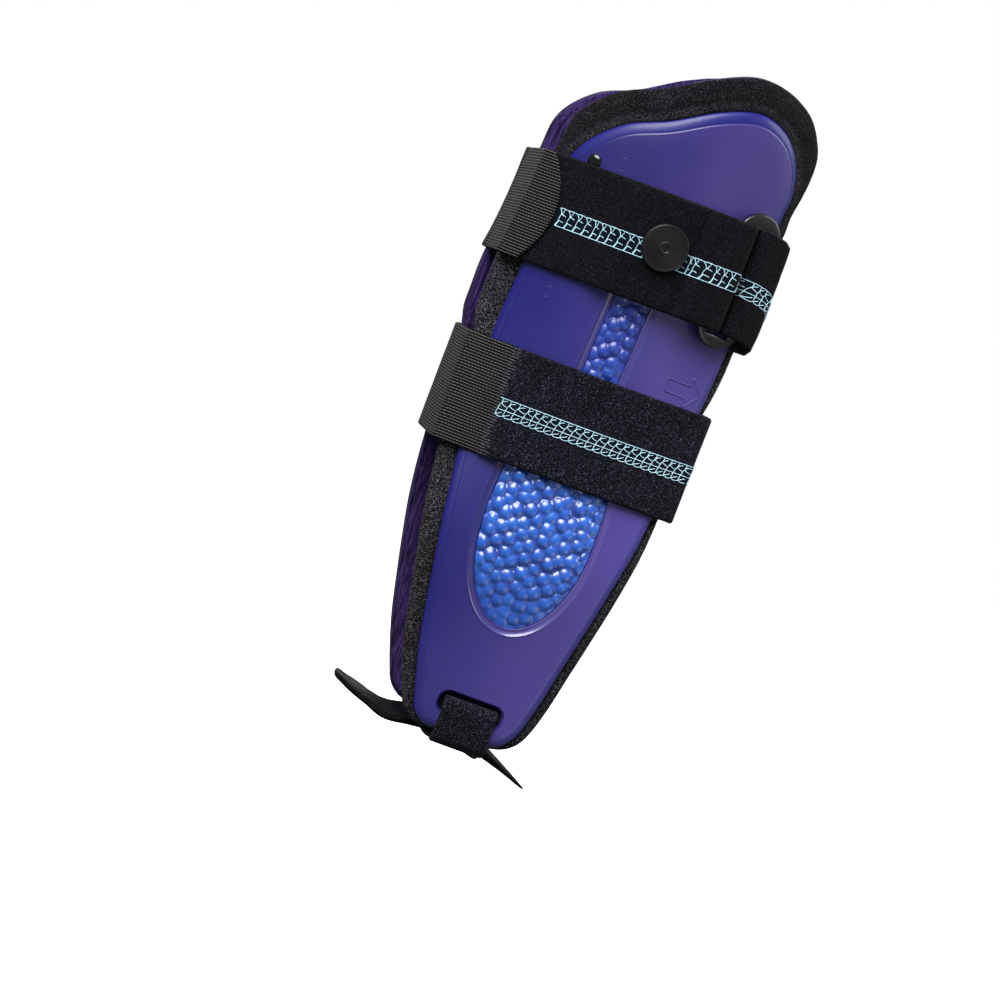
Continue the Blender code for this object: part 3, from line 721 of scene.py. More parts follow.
def make_bead_panel():
    """A panel packed with round gel beads, held in the window."""
    inset = 0.12 * MM
    ends = np.linspace(0, 1, 26) ** 2 * 0.0035
    foot, head = WINDOW_FOOT + inset, NECK_TOP - inset
    heights = np.concatenate(
        [foot + ends[1:], np.arange(foot + 0.0039, head - 0.0024, 0.00050), head - ends[::-1][:-1] * 0.65]
    )
    half, middle = window_half_width(heights, inset)
    columns = 88
    across = np.linspace(-1, 1, columns + 1)
    across = blend(across, np.sin(across * math.pi / 2), 0.35)
    x = middle[:, None] + half[:, None] * across
    z = np.repeat(heights[:, None], columns + 1, axis=1)

    centres, sizes, tones = bead_centres()
    places = np.stack([x, z], axis=-1).reshape(-1, 1, 2)
    lift = np.empty(len(places))
    crown = np.empty(len(places))
    tone = np.empty(len(places))
    for start in range(0, len(places), 4000):
        part = slice(start, start + 4000)
        away = np.linalg.norm(places[part] - centres, axis=2)
        domes = np.sqrt(np.clip(BEAD_RADIUS**2 - away**2, 0, None)) - BEAD_RADIUS + 1.55 * MM * sizes
        near = np.argmax(domes, axis=1)
        lift[part] = domes[np.arange(len(near)), near]
        # crown carries painted light and shade: bright over each bead's middle, painted shade towards the creases
        # between beads
        crown[part] = np.clip(1 - away[np.arange(len(near)), near] / 0.0028, 0, 1)
        tone[part] = tones[near]
    lift, crown, tone = (values.reshape(x.shape) for values in (lift, crown, tone))
    border = half[:, None] * (1 - np.abs(across))
    border = np.minimum(border, np.minimum(heights - foot, head - heights)[:, None] * 0.8)
    full = 0.55 + 0.45 * ease(border / 0.0030)
    full = full * (0.50 + 0.50 * ease((z - WINDOW_FOOT - 0.004) / 0.016))
    height = 1.15 * MM + np.clip(lift, -0.4 * MM, None) * full + 0.35 * MM * full
    top, _ = on_form(x, z, height)
    bottom, _ = on_form(x, z, GAP)
    rows = len(heights)
    faces = grid_faces(rows, columns + 1)
    count = rows * (columns + 1)
    sparse = list(range(0, columns + 1))
    faces += [tuple(count + v for v in face[::-1]) for face in faces]
    rim = [k for k in sparse]
    rim += [i * (columns + 1) + columns for i in range(1, rows)]
    rim += [(rows - 1) * (columns + 1) + k for k in range(columns - 1, -1, -1)]
    rim += [i * (columns + 1) for i in range(rows - 2, 0, -1)]
    for a, b in zip(rim, rim[1:] + rim[:1]):
        faces.append((a, a + count, b + count, b))
    points = np.concatenate([top.reshape(-1, 3), bottom.reshape(-1, 3)])
    # the crown is weakened near the window's edge and towards its foot, as painted shade
    attributes = {
        "crown": np.concatenate([crown.ravel() * full.ravel() ** 0.5, np.zeros(count)]),
        "tone": np.concatenate([tone.ravel(), np.zeros(count)]),
    }
    return new_object("lateral_beads", mesh_from("beads", points, faces, attributes))


# Pads and linings

def rounded_plate(name, outer, guide, heights, top_lift, bottom_lift, edges, crown):
    """A closed plate bent to the side, from rings that run in from its edge to a spine.

    outer and guide are loops matched in height; between them the upper face may be crowned, and
    edges are the roundings of the upper and the lower corner.
    """
    spine = plate_spine(heights)
    margin = np.linalg.norm(guide - outer, axis=1)
    inward = unit(guide - outer)
    half = (top_lift - bottom_lift) / 2
    level = (top_lift + bottom_lift) / 2

    def layer(side, edge):
        round_in = np.minimum(edge, margin + 1.2 * MM)
        first = outer + inward * round_in[:, None]
        target = outer + inward * np.maximum(margin, round_in + 0.2 * MM)[:, None]
        rings = []
        for t in (0.0, 0.10, 0.25, 0.45, 0.7, 1.0):
            turn = t * math.pi / 2
            sides = 1 - edge / (2 * half)
            rings.append((outer + inward * (round_in * (1 - math.cos(turn)))[:, None], sides + (1 - sides) * math.sin(turn)))
        for t in (0.2, 0.4, 0.6, 0.8, 0.95, 1.05):
            rings.append((outer + (first - outer) * (1 - t) + (target - outer) * t, 1.0))
        last = rings[-1][0]
        for t in (0.14, 0.28, 0.42, 0.56, 0.70, 0.85, 1.0):
            rings.append((blend(last, spine, t), 1.0))
        made = []
        for ring, fullness in rings:
            away = np.linalg.norm(ring - outer, axis=1)
            swell = np.clip(away / np.maximum(margin, 1e-6), 0, 1)
            rise = crown * np.minimum(1.0, margin / 0.006) * (4 * swell * (1 - swell)) ** 0.75
            lift = level + side * half * fullness + (rise if side > 0 else 0.0)
            made.append(on_form(ring[:, 0], ring[:, 1], lift)[0])
        return made

    upper, lower = layer(1, edges[0]), layer(-1, edges[1])
    rows = lower[::-1] + upper
    points = np.stack(rows)
    faces = grid_faces(len(rows), len(outer), round_columns=True)
    return mesh_from(name, points, faces, merge=2e-6)


def plate_spine(heights):
    """The line down a plate's middle that its rings close in on."""
    return np.stack([np.full(len(heights), FACE_CENTRE + 0.0008), np.clip(heights, 0.024, 0.226)], axis=1)


def plate_loops(inset):
    """A plate's outline, its points matched in height, and the shell's edge beside each of them."""
    loop = pad_loop(inset)
    out = outward(loop)
    between = ease((loop[:, 1] - 0.136) / 0.012) * ease((0.184 - loop[:, 1]) / 0.014)
    loop = loop + out * (between * 2.4 * MM * np.where(loop[:, 0] < 0, 1.0, 0.5))[:, None]
    filled = np.exp(-(((loop[:, 1] - 0.2095) / 0.0090) ** 2)) * (loop[:, 0] > 0)
    loop = loop + out * (filled * 1.6 * MM)[:, None]
    dense = evenly(loop, 236)
    places = matched_places(dense)
    outer = at_places(dense, places)
    shell = evenly(shell_loop(), 1600)
    away = np.linalg.norm(outer[:, None] - shell[None], axis=2)
    guide = shell[np.argmin(away, axis=1)]
    return outer, guide


def make_pad():
    """Foam pad with a brushed cover: round soft edges that swell round the shell."""
    outer, guide = plate_loops(0.0)
    mesh = rounded_plate(
        "pad", outer, guide, outer[:, 1], 0.0, -PAD_THICKNESS, (1.3 * MM, 2.2 * MM), 1.1 * MM
    )
    pad = new_object("lateral_pad_look", mesh)
    blow_up(pad)
    subdivide(pad)
    points = vertices(pad)
    sides = on_form(points[:, 0], points[:, 2], 0.0)[1]
    soft = ripple(points, 0.011, 0.45 * MM, 3.1) + ripple(points, 0.0042, 0.16 * MM, 7.7)
    lift = (np.abs(points[:, 1]) - seat(points[:, 0], points[:, 2]))
    outline = evenly(shell_loop(), 700)
    outside = outside_by(points[:, [0, 2]], outline)
    free = ease(outside / 0.0018)
    points = points + sides * (np.minimum(soft, 0.25 * MM) * free * (lift > -0.004))[:, None]
    pad.data.vertices.foreach_set("co", points.astype(np.float32).ravel())
    return pad


def blow_up(pad):
    """Cloth with pressure inside swells the free edge, held under the shell, the straps and the lining."""
    before = vertices(pad)
    outside = outside_by(before[:, [0, 2]], evenly(shell_loop(), 700))
    depth = seat(before[:, 0], before[:, 2]) - np.abs(before[:, 1])
    pinned = (outside < 1.0 * MM) | (depth > PAD_THICKNESS - 0.7 * MM)
    for middle in (UPPER_STRAP_HEIGHT, LOWER_STRAP_HEIGHT):
        pinned |= np.abs(before[:, 2] - middle + 1.5 * MM) < STRAP_WIDTH / 2 + 2.5 * MM
    held = pad.vertex_groups.new(name="held")
    held.add(np.nonzero(pinned)[0].tolist(), 1.0, "REPLACE")
    change = pad.modifiers.new("Cloth", "CLOTH")
    change.settings.quality = 4
    change.settings.use_pressure = True
    change.settings.uniform_pressure_force = BLOW_PRESSURE
    change.settings.vertex_group_mass = "held"
    change.settings.effector_weights.gravity = 0
    change.point_cache.frame_start, change.point_cache.frame_end = 1, 20
    for frame in range(1, 21):
        bpy.context.scene.frame_set(frame)
    blown = pad.evaluated_get(bpy.context.evaluated_depsgraph_get())
    moved = vertices(blown) - before
    pad.modifiers.clear()
    pad.vertex_groups.clear()
    bpy.context.scene.frame_set(1)
    far = np.linalg.norm(moved, axis=1, keepdims=True)
    moved *= np.minimum(1.0, BLOW_CAP / np.maximum(far, 1e-9))
    pad.data.vertices.foreach_set("co", (before + moved).astype(np.float32).ravel())


def outside_by(places, loop):
    """How far outside a clockwise loop each place lies; negative inside it."""
    result = np.empty(len(places))
    normals = outward(loop)
    for start in range(0, len(places), 4000):
        part = slice(start, start + 4000)
        away = places[part][:, None] - loop[None]
        near = np.argmin((away**2).sum(axis=2), axis=1)
        chosen = away[np.arange(len(near)), near]
        result[part] = (chosen * normals[near]).sum(axis=1)
    return result


def vertices(obj):
    flat = np.empty(len(obj.data.vertices) * 3, dtype=np.float32)
    obj.data.vertices.foreach_get("co", flat)
    return flat.reshape(-1, 3).astype(float)


def subdivide(obj):
    change = obj.modifiers.new("Smooth", "SUBSURF")
    change.levels = change.render_levels = 1
    settle(obj)
    obj.data.shade_smooth()


def cut_pocket(pad):
    """Room behind the slot for the heel strap's folded end."""
    width = HEEL_STRAP_WIDTH + 4 * GAP
    top, low = SLOT_MIDDLE + SLOT_HEIGHT / 2, SHELL_FOOT - PAD_MARGIN / 2
    loop = rounded_box(width, top - low, GAP, 2, FACE_CENTRE, (top + low) / 2)
    rings = np.stack(
        [
            on_form(loop[:, 0], loop[:, 1], lift)[0]
            for lift in (-HEEL_STRAP_THICKNESS - 2 * GAP, PAD_THICKNESS)
        ]
    )
    cut(pad, new_object("pocket", mesh_from("pocket", rings, capped(*rings.shape[:2]))))
    pad.data.shade_smooth()
    pad.data.set_sharp_from_angle(angle=math.radians(50))


def mark_pad(pad):
    """Keeps on each point how deep it lies in the pad and how far outside the shell."""
    points = vertices(pad)
    normals = on_form(points[:, 0], points[:, 2], 0.0)[1]
    depth = (seat(points[:, 0], points[:, 2]) - np.abs(points[:, 1])) * np.abs(normals[:, 1])
    outside = outside_by(points[:, [0, 2]], evenly(shell_loop(), 700))
    for key, values in (("depth", depth), ("outside", outside)):
        layer = pad.data.attributes.new(key, "FLOAT", "POINT")
        layer.data.foreach_set("value", values.astype(np.float32))


def make_lining():
    """Woven lining stretched over the pad's inner face."""
    outer, _ = plate_loops(LINING_INSET)
    guide = outer + unit(plate_spine(outer[:, 1]) - outer) * 4 * MM
    top = -PAD_THICKNESS - GAP
    mesh = rounded_plate(
        "lining", outer, guide, outer[:, 1], top, top - LINING_THICKNESS, (0.3 * MM, 0.5 * MM), 0.0
    )
    lining = new_object("lateral_lining_look", mesh)
    points = vertices(lining)
    sides = on_form(points[:, 0], points[:, 2], 0.0)[1]
    inner = np.abs(points[:, 1]) - seat(points[:, 0], points[:, 2]) < top - LINING_THICKNESS / 2
    wave = np.minimum(ripple(points * (1, 1, 0.25), 0.006, 0.35 * MM, 5.0), 0.0)
    points = points + sides * (wave * inner)[:, None]
    lining.data.vertices.foreach_set("co", points.astype(np.float32).ravel())
    return lining


# Straps

def across_places(width, thickness, count):
    """Places across a band, close together at its rounded edges."""
    radius = thickness / 2
    edge = radius * np.array([0.0, 0.10, 0.35, 0.70])
    inner = np.linspace(radius, width - radius, count)
    return np.concatenate([edge, inner, width - edge[::-1]])


def roundness(distance, radius):
    near = np.clip(distance / radius, 0, 1)
    return np.sqrt(np.maximum(0.0, 1 - (1 - near) ** 2))


def band(name, inner, across, thickness, ends=(0.0, 0.0), wave=0.10, seed=0.0, ribs=0.0, taper=(0.0, 0.0)):
    """A closed band from the grid of its inner face, with rounded edges and ends.

    ends is not used, taper gives the lengths over which each end thins, and ribs is the height of lengthwise ribs.
    """
    step_along = np.gradient(inner, axis=0)
    step_across = np.gradient(inner, axis=1)
    normals = unit(np.cross(step_along, step_across))
    middle = inner[:, inner.shape[1] // 2]
    along = np.concatenate([[0.0], np.cumsum(np.linalg.norm(np.diff(middle, axis=0), axis=1))])
    length = along[-1]
    radius = thickness / 2
    round_along = roundness(np.minimum(along, length - along), radius)
    round_across = roundness(np.minimum(across, across[-1] - across), radius)
    full = round_along[:, None] * round_across[None]
    thin = np.ones(len(along))
    for reach, way in zip(taper, (along, length - along)):
        if reach:
            thin = thin * (0.22 + 0.78 * ease(way / reach))
    thick = thickness * thin[:, None]
    drift = ripple(middle, 0.016, wave * MM, seed)[:, None] + ripple(inner, 0.009, wave * 0.7 * MM, seed + 4)
    top = thick / 2 * (1 + full) + drift
    bottom = thick / 2 * (1 - full) + drift
    if ribs:
        crest = np.abs(np.sin(math.pi * across / RIB_PITCH)) * full
        top = top + ribs * crest - ribs
    upper = inner + normals * top[..., None]
    lower = inner + normals * bottom[..., None]
    points = np.concatenate([upper, lower[:, -2:0:-1]], axis=1)
    rows, columns = points.shape[:2]
    faces = grid_faces(rows, columns, round_columns=True)
    strip = np.concatenate([across, across[-2:0:-1]])
    outer_side = np.concatenate([np.ones(len(across)), np.zeros(len(across) - 2)])
    attributes = {
        "along": np.repeat(along, columns),
        "across": np.tile(strip, rows),
        "outer": np.tile(outer_side, rows),
        "from_end": np.repeat(np.minimum(along, length - along), columns),
    }
    mesh = mesh_from(name, points, faces, attributes, merge=2e-6)
    return new_object(name, mesh), {"face": upper, "normal": normals, "along": along, "across": across}


def walk(path, spacing):
    """The path with points added, its rises eased, where two neighbours lie far apart."""
    points = [path[0]]
    for a, b in zip(path, path[1:]):
        count = max(1, math.ceil(abs(b[0] - a[0]) / spacing))
        for step in range(1, count + 1):
            t = step / count
            points.append((blend(a[0], b[0], t), blend(a[1], b[1], float(ease(t)))))
    return points


def fold_path(bar_side, far_lift, far_away, under_away, steps):
    """Places and lifts of a strap that comes in over one bar of the ring and returns under it."""
    top = RING_FACE + 3 * GAP
    bottom = RETURN_FACE
    middle = (top + bottom) / 2
    radius = (top - bottom) / 2
    turn = share(RING_PLACE + bar_side * (GAP + STRAP_THICKNESS + radius))
    bar_end = share(RING_PLACE + bar_side * (RING_WIDTH / 2 + BAR_CLEARANCE))
    path = [(far_away, far_lift), (bar_end, top), (turn, top)]
    for step in range(1, steps):
        angle = math.pi * step / steps
        across = math.sin(angle) ** 0.6
        up = math.copysign(abs(math.cos(angle)) ** 0.6, math.cos(angle))
        path.append((turn - bar_side * share(radius) * across, middle + radius * up))
    path += [(turn, bottom), (bar_end, bottom), (under_away, bottom)]
    return path


def path_grid(path, loop, across, drop=0.0):
    """The inner face of a strap along a path of places and lifts; drop is how far its front hangs."""
    runs = np.array([p[0] for p in path])[:, None]
    lifts = np.array([p[1] for p in path])[:, None]
    heights = (loop["middle"] - STRAP_WIDTH / 2 + across)[None]
    grid = run_place(runs, heights, lifts, loop)
    reach = 2.0 - np.abs(runs - 2.0)
    turn, corner = ease((reach - 0.80) / 0.55), ease((reach - 1.0) / 0.5)
    side = 2 * across[None] / STRAP_WIDTH - 1
    grid[..., 2] -= drop * (turn + 0.25 * corner * np.sign(side) * np.abs(side) ** 5)
    grid[..., 0] -= drop * corner * 0.45 * np.abs(side) ** 6
    return grid


def close_ends(values, thickness):
    """Adds places close to both ends, so that a band's ends come out round."""
    steps = share(thickness / 2) * np.array([0.10, 0.35, 0.70, 1.0])
    first, last = values[0], values[-1]
    way = 1.0 if last > first else -1.0
    inner = [v for v in values[1:-1] if abs(v - first) > steps[-1] * 1.4 and abs(v - last) > steps[-1] * 1.4]
    return np.array([first, *(first + way * steps), *inner, *(last - way * steps[::-1]), last])


def make_lower_strap():
    start = share(SEAM)
    end = 4 - start
    under = STRAP_SEAT + ELASTIC_THICKNESS + GAP
    runs = close_ends(np.linspace(start, end, 230), STRAP_THICKNESS)
    near = np.minimum(runs - start, end - runs)
    lifts = blend(under, STRAP_SEAT, ease((near - share(LAP)) / share(LAP)))
    across = across_places(STRAP_WIDTH, STRAP_THICKNESS, 22)
    inner = path_grid(list(zip(runs, lifts)), LOWER_LOOP, across)
    return band(
        "lower_strap_look", inner, across, STRAP_THICKNESS, wave=0.16, seed=2.0, taper=(0.0075, 0.0075)
    )


def back_grid(runs, curl, lifts, loop, across):
    """The inner face of an elastic that runs from the medial side round the back to the lateral side."""
    run = runs[:, None] + curl
    medial = run > 2
    away = np.where(medial, 4 - run, run)
    heights = (loop["middle"] - STRAP_WIDTH / 2 + across)[None]
    points = loop_place(-away, heights, lifts[:, None], loop)
    points[..., 1] = np.where(medial, -points[..., 1], points[..., 1])
    for _ in range(12):
        points[1:-1] = (points[:-2] + 2 * points[1:-1] + points[2:]) / 4
    return points


def make_lower_elastic():
    first = share(SEAM) + share(LAP)
    runs = close_ends(np.linspace(4 + first, -first, 100), ELASTIC_THICKNESS)
    across = across_places(STRAP_WIDTH, ELASTIC_THICKNESS, 190)
    inner = back_grid(runs, 0.0, np.full(len(runs), STRAP_SEAT), LOWER_LOOP, across)
    return band(
        "lower_elastic_look", inner, across, ELASTIC_THICKNESS, wave=0.12, seed=9.0, ribs=0.16 * MM
    )


def make_upper_elastic():
    tip = -share(TAB_FRONT)
    over = STRAP_SEAT + STRAP_THICKNESS + GAP
    across = across_places(STRAP_WIDTH, ELASTIC_THICKNESS, 190)
    runs = close_ends(np.linspace(4 - tip, tip, 106), ELASTIC_THICKNESS)
    near = np.minimum(runs - tip, 4 - tip - runs)
    lifts = blend(over, STRAP_SEAT, ease((near - share(LAP)) / (1.5 * share(LAP))))
    part = (runs - 2) / (2 - tip)
    curl = -part[:, None] * share(TAB_REACH) * (2 * across / STRAP_WIDTH - 1)[None] ** 2
    inner = back_grid(runs, curl, lifts, UPPER_LOOP, across)
    return band(
        "upper_elastic_look", inner, across, ELASTIC_THICKNESS, wave=0.12, seed=12.0, ribs=0.13 * MM
    )


def make_upper_strap():
    top = RETURN_FACE + GAP
    tail = share(RETURN_END)
    step_down = tail - share(STEP_DOWN)
    start = share(TAB_FRONT) - share(LAP)
    before_ring = share(RING_PLACE - RING_WIDTH / 2 - 2 * BAR_CLEARANCE)
    fold = fold_path(-1, top, before_ring, tail, 16)
    path = walk([(start, STRAP_SEAT), (step_down, STRAP_SEAT), (tail, top)] + fold, share(0.0014))
    across = across_places(STRAP_WIDTH, STRAP_THICKNESS, 22)
    inner = path_grid(path, UPPER_LOOP, across)
    return band("upper_strap_look", inner, across, STRAP_THICKNESS, wave=0.10, seed=4.0)


def make_front_strap():
    start = share(TAB_FRONT) - share(LAP)
    under = FRONT_TURN + share(FRONT_RETURN)
    rejoin = under + share(FRONT_STEP)
    around = walk([(4 - start, STRAP_SEAT), (rejoin, STRAP_SEAT)], share(0.0016))
    front = walk(fold_path(1, STRAP_SEAT, rejoin, under, 16), share(0.0014))
    path = (around[:-1] + front)[::-1]
    across = across_places(STRAP_WIDTH, STRAP_THICKNESS, 22)
    inner = path_grid(path, UPPER_LOOP, across, 4.6 * MM)
    return band("upper_front_strap_look", inner, across, STRAP_THICKNESS, wave=0.10, seed=6.0)


def make_heel_strap():
    """Webbing under the heel pad, up outside both shells, in through the slots and folded down."""
    bend = SHELL_FOOT + SLOT_RISE + HOOK_RISE
    radius = (SHELL_THICKNESS + 2 * GAP) / 2
    outside = float(seat(FACE_CENTRE, SHELL_FOOT)) + STRAP_SEAT
    under = HEEL_PAD_THICKNESS + GAP
    half = HEEL_HALF_WIDTH
    corner = HEEL_STRAP_THICKNESS

    def on_lift(lift, z):
        return -float(on_form(FACE_CENTRE, z, lift)[0][1])

    path = []
    level = float(below_sole(FACE_CENTRE, under))
    for k in range(16):
        y = half * k / 15
        path.append((y, level + HEEL_CUP * (y / half) ** 2))
    foot = path[-1][1]
    path.append((blend(half, outside, 0.4), foot))
    path.append((blend(half, outside, 0.7), foot))
    for k in range(9):
        angle = math.pi / 2 * k / 8
        path.append((outside - corner * (1 - math.sin(angle)), foot + corner * (1 - math.cos(angle))))
    for k in range(1, 9):
        z = blend(foot + corner, bend, k / 9)
        path.append((on_lift(STRAP_SEAT, z), z))
    for k in range(15):
        angle = math.pi * k / 14
        z = bend + radius * math.sin(angle)
        path.append((on_lift(GAP + SHELL_THICKNESS / 2 + radius * math.cos(angle), z), z))
    path.append((on_lift(0.0, SHELL_FOOT + 2 * corner), SHELL_FOOT + 2 * corner))
    path.append((on_lift(0.0, SHELL_FOOT + corner), SHELL_FOOT + corner))
    whole = np.array([(-y, z) for y, z in path[:0:-1]] + path)
    across = across_places(HEEL_STRAP_WIDTH, HEEL_STRAP_THICKNESS, 16)
    x = (FACE_CENTRE - HEEL_STRAP_WIDTH / 2 + across)[None]
    drop = below_sole(x, under) - level
    held = ease((half + 4 * MM - np.abs(whole[:, 0])) / (4 * MM))[:, None]
    inner = np.stack(
        np.broadcast_arrays(x, whole[:, 0][:, None], whole[:, 1][:, None] + drop * held), axis=-1
    )
    return band("heel_strap_look", inner, across, HEEL_STRAP_THICKNESS, wave=0.08, seed=15.0)


def make_heel_pad():
    """Thin cupped foam pad, curled up behind, with a soft rounded edge."""
    half = HEEL_HALF_WIDTH
    count, rings = 160, []
    for k in range(count):
        angle = -math.tau * k / count
        across, along = math.sin(angle), math.cos(angle)
        rings.append((math.copysign(abs(along) ** 0.8, along), math.copysign(abs(across) ** 0.8, across)))
    loop = np.array(rings)
    scale = np.array([HEEL_LENGTH / 2, half])
    depth = HEEL_PAD_THICKNESS
    edge = depth / 2
    levels = []
    for t in (0.0, 0.2, 0.45, 0.7, 1.0):
        levels.append((1 - edge * (1 - math.cos(t * math.pi / 2)) / half, math.sin(t * math.pi / 2)))
    for t in np.linspace(0.92, 0.0, 16):
        levels.append((float(t), 1.0))

    def layer(side):
        made = []
        for grown, fullness in levels:
            x = HEEL_BACK + HEEL_LENGTH / 2 + loop[:, 0] * scale[0] * grown
            y = loop[:, 1] * scale[1] * grown * (1 - 0.45 * ease((x - 0.006) / 0.024))
            surface = sole(x) + HEEL_CUP * (y / half) ** 2
            folded = np.exp(-(((x + 0.033) / 0.010) ** 2))
            surface = surface - 3.4 * MM * folded * np.abs(y / half) ** 2.5 - 1.6 * MM * ease((-0.036 - x) / 0.012)
            step = 0.001
            slope = (sole(x + step) - sole(x - step)) / (2 * step)
            middle = np.stack([x, y, surface], axis=-1)
            normal = unit(np.stack([-slope, -2 * HEEL_CUP * y / half**2, np.ones_like(x)], axis=-1))
            front = ease((x - 0.004) / 0.024)
            away = (-edge + side * edge * fullness) * (1 - 0.60 * front)
            made.append(middle + normal * away[:, None])
        return made

    upper, lower = layer(1), layer(-1)
    points = np.stack(lower[::-1][:-1] + upper)
    drift = ripple(points, 0.010, 0.35 * MM, 21.0)
    points[..., 2] += np.where(points[..., 0] < -0.022, drift, drift * 0.3)
    faces = grid_faces(len(points), count, round_columns=True)
    pad = new_object("heel_pad_look", mesh_from("heel_pad", points, faces, merge=2e-6))
    return pad


# Ring and button

def make_ring():
    """A moulded oval ring with softly rounded edges."""
    width, length = RING_WIDTH + 1.2 * MM, RING_LENGTH + 0.6 * MM
    outer = evenly(rounded_box(width, length, width * 0.49, 18), 240)
    reach = STRAP_WIDTH / 2 + 2 * GAP
    inner = np.clip(outer, (-RING_SLOT / 2, -reach), (RING_SLOT / 2, reach - 1.6 * MM))
    thick = RING_THICKNESS / 2
    soft = 0.75 * MM
    rings = []
    for t in (0.0, 0.25, 0.5, 0.75, 1.0):
        a = t * math.pi / 2
        rings.append((soft * (1 - math.cos(a)), -thick + soft * (1 - math.sin(a)), "outer"))
    lower_outer = rings
    rows = []
    normals = outward(outer)
    inward = unit(outer - inner)
    for in_by, height, _ in lower_outer[::-1]:
        rows.append((outer - normals * in_by, height))
    for in_by, height, _ in lower_outer:
        rows.append((outer - normals * in_by, -height))
    rows.append((blend(outer - normals * soft, inner + inward * soft, 0.5), thick + 0.12 * MM))
    for in_by, height, _ in lower_outer[::-1]:
        rows.append((inner + inward * in_by, -height))
    for in_by, height, _ in lower_outer:
        rows.append((inner + inward * in_by, height))
    rows.append((blend(outer - normals * soft, inner + inward * soft, 0.5), -thick))
    flat = np.stack(
        [np.concatenate([ring, np.full((len(ring), 1), height)], axis=1) for ring, height in rows]
    )
    matrix = np.array(
        seat_matrix(
            FACE_CENTRE + RING_PLACE, UPPER_STRAP_HEIGHT, (RING_FLOOR + RING_FACE) / 2, -RING_LEAN
        )
    )
    points = flat @ matrix[:3, :3].T + matrix[:3, 3]
    faces = grid_faces(len(rows), len(outer), round_rows=True, round_columns=True)
    return new_object("strap_ring_look", mesh_from("strap_ring", points, faces, merge=1e-6))


def make_button():
    """A low rivet head: thin rolled rim, shallow dish, and a small ring round its middle."""
    profile = [
        (0.90, 0.00), (0.985, 0.12), (1.0, 0.35), (0.985, 0.62), (0.955, 0.78), (0.92, 0.80),
        (0.89, 0.72), (0.82, 0.72), (0.60, 0.86), (0.34, 0.95), (0.27, 0.97), (0.245, 1.05),
        (0.215, 1.08), (0.185, 1.04), (0.165, 0.94), (0.12, 0.90), (0.06, 0.90), (0.0, 0.90),
    ]
    lift = RETURN_FACE + GAP + STRAP_THICKNESS + GAP
    return turned_head(
        "strap_button_look", profile, BUTTON_DIAMETER / 2, BUTTON_HEIGHT,
        (FACE_CENTRE + BUTTON_PLACE, UPPER_STRAP_HEIGHT + BUTTON_RISE, lift), 72,
    )


# Stitches

class Tree:
    """A node tree being wired. node() adds one node and gives its first output."""

    def __init__(self, tree):
        self.tree = tree

    def node(self, kind, settings=None, sockets=None, output=0):
        made = self.tree.nodes.new(kind)
        for key, value in (settings or {}).items():
            setattr(made, key, value)
        for key, value in (sockets or {}).items():
            socket = made.inputs[key] if isinstance(key, int) else find(made.inputs, key)
            self.plug(socket, value)
        found = made.outputs[output] if isinstance(output, int) else find(made.outputs, output)
        return found

    def plug(self, socket, value):
        values = value if isinstance(value, list) else [value]
        for one in values:
            source = getattr(one, "socket", one)
            if isinstance(source, bpy.types.NodeSocket):
                self.tree.links.new(source, socket)
            else:
                socket.default_value = source


def find(sockets, key):
    for socket in sockets:
        if socket.identifier == key:
            return socket
    return sockets[key]


# one stitch: start, bend and end of each thread, along as shares of the pitch and up as shares of the width
LADDER_STITCH = (
    ((0.00, 0.50), (0.50, 0.55), (1.00, 0.50)),
    ((0.00, -0.50), (0.50, -0.51), (1.00, -0.50)),
    ((0.00, -0.50), (0.12, -0.38), (0.22, -0.18)),
    ((0.09, -0.49), (0.20, -0.36), (0.29, -0.20)),
    ((0.22, -0.18), (0.18, -0.02), (0.34, 0.17)),
    ((0.34, 0.17), (0.30, 0.36), (0.04, 0.48)),
    ((0.34, 0.17), (0.50, 0.28), (0.60, 0.50)),
    ((0.34, 0.19), (0.60, 0.20), (0.86, 0.13)),
    ((0.22, -0.18), (0.50, -0.18), (0.80, -0.23)),
)
SCALE_STITCH = (
    ((0.00, 0.50), (0.50, 0.50), (1.00, 0.50)),
    ((0.35, 0.50), (0.34, 0.36), (0.25, 0.22)),
    ((0.25, 0.22), (0.50, 0.38), (0.86, 0.39)),
    ((0.25, 0.22), (0.60, 0.08), (0.96, 0.09)),
    ((0.25, 0.22), (0.02, 0.08), (0.00, -0.12)),
    ((0.00, -0.12), (0.55, -0.15), (1.00, -0.12)),
    ((0.00, -0.12), (-0.13, -0.28), (-0.10, -0.45)),
    ((-0.10, -0.45), (0.38, -0.60), (0.90, -0.45)),
    ((-0.05, -0.43), (0.28, -0.36), (0.62, -0.27)),
)


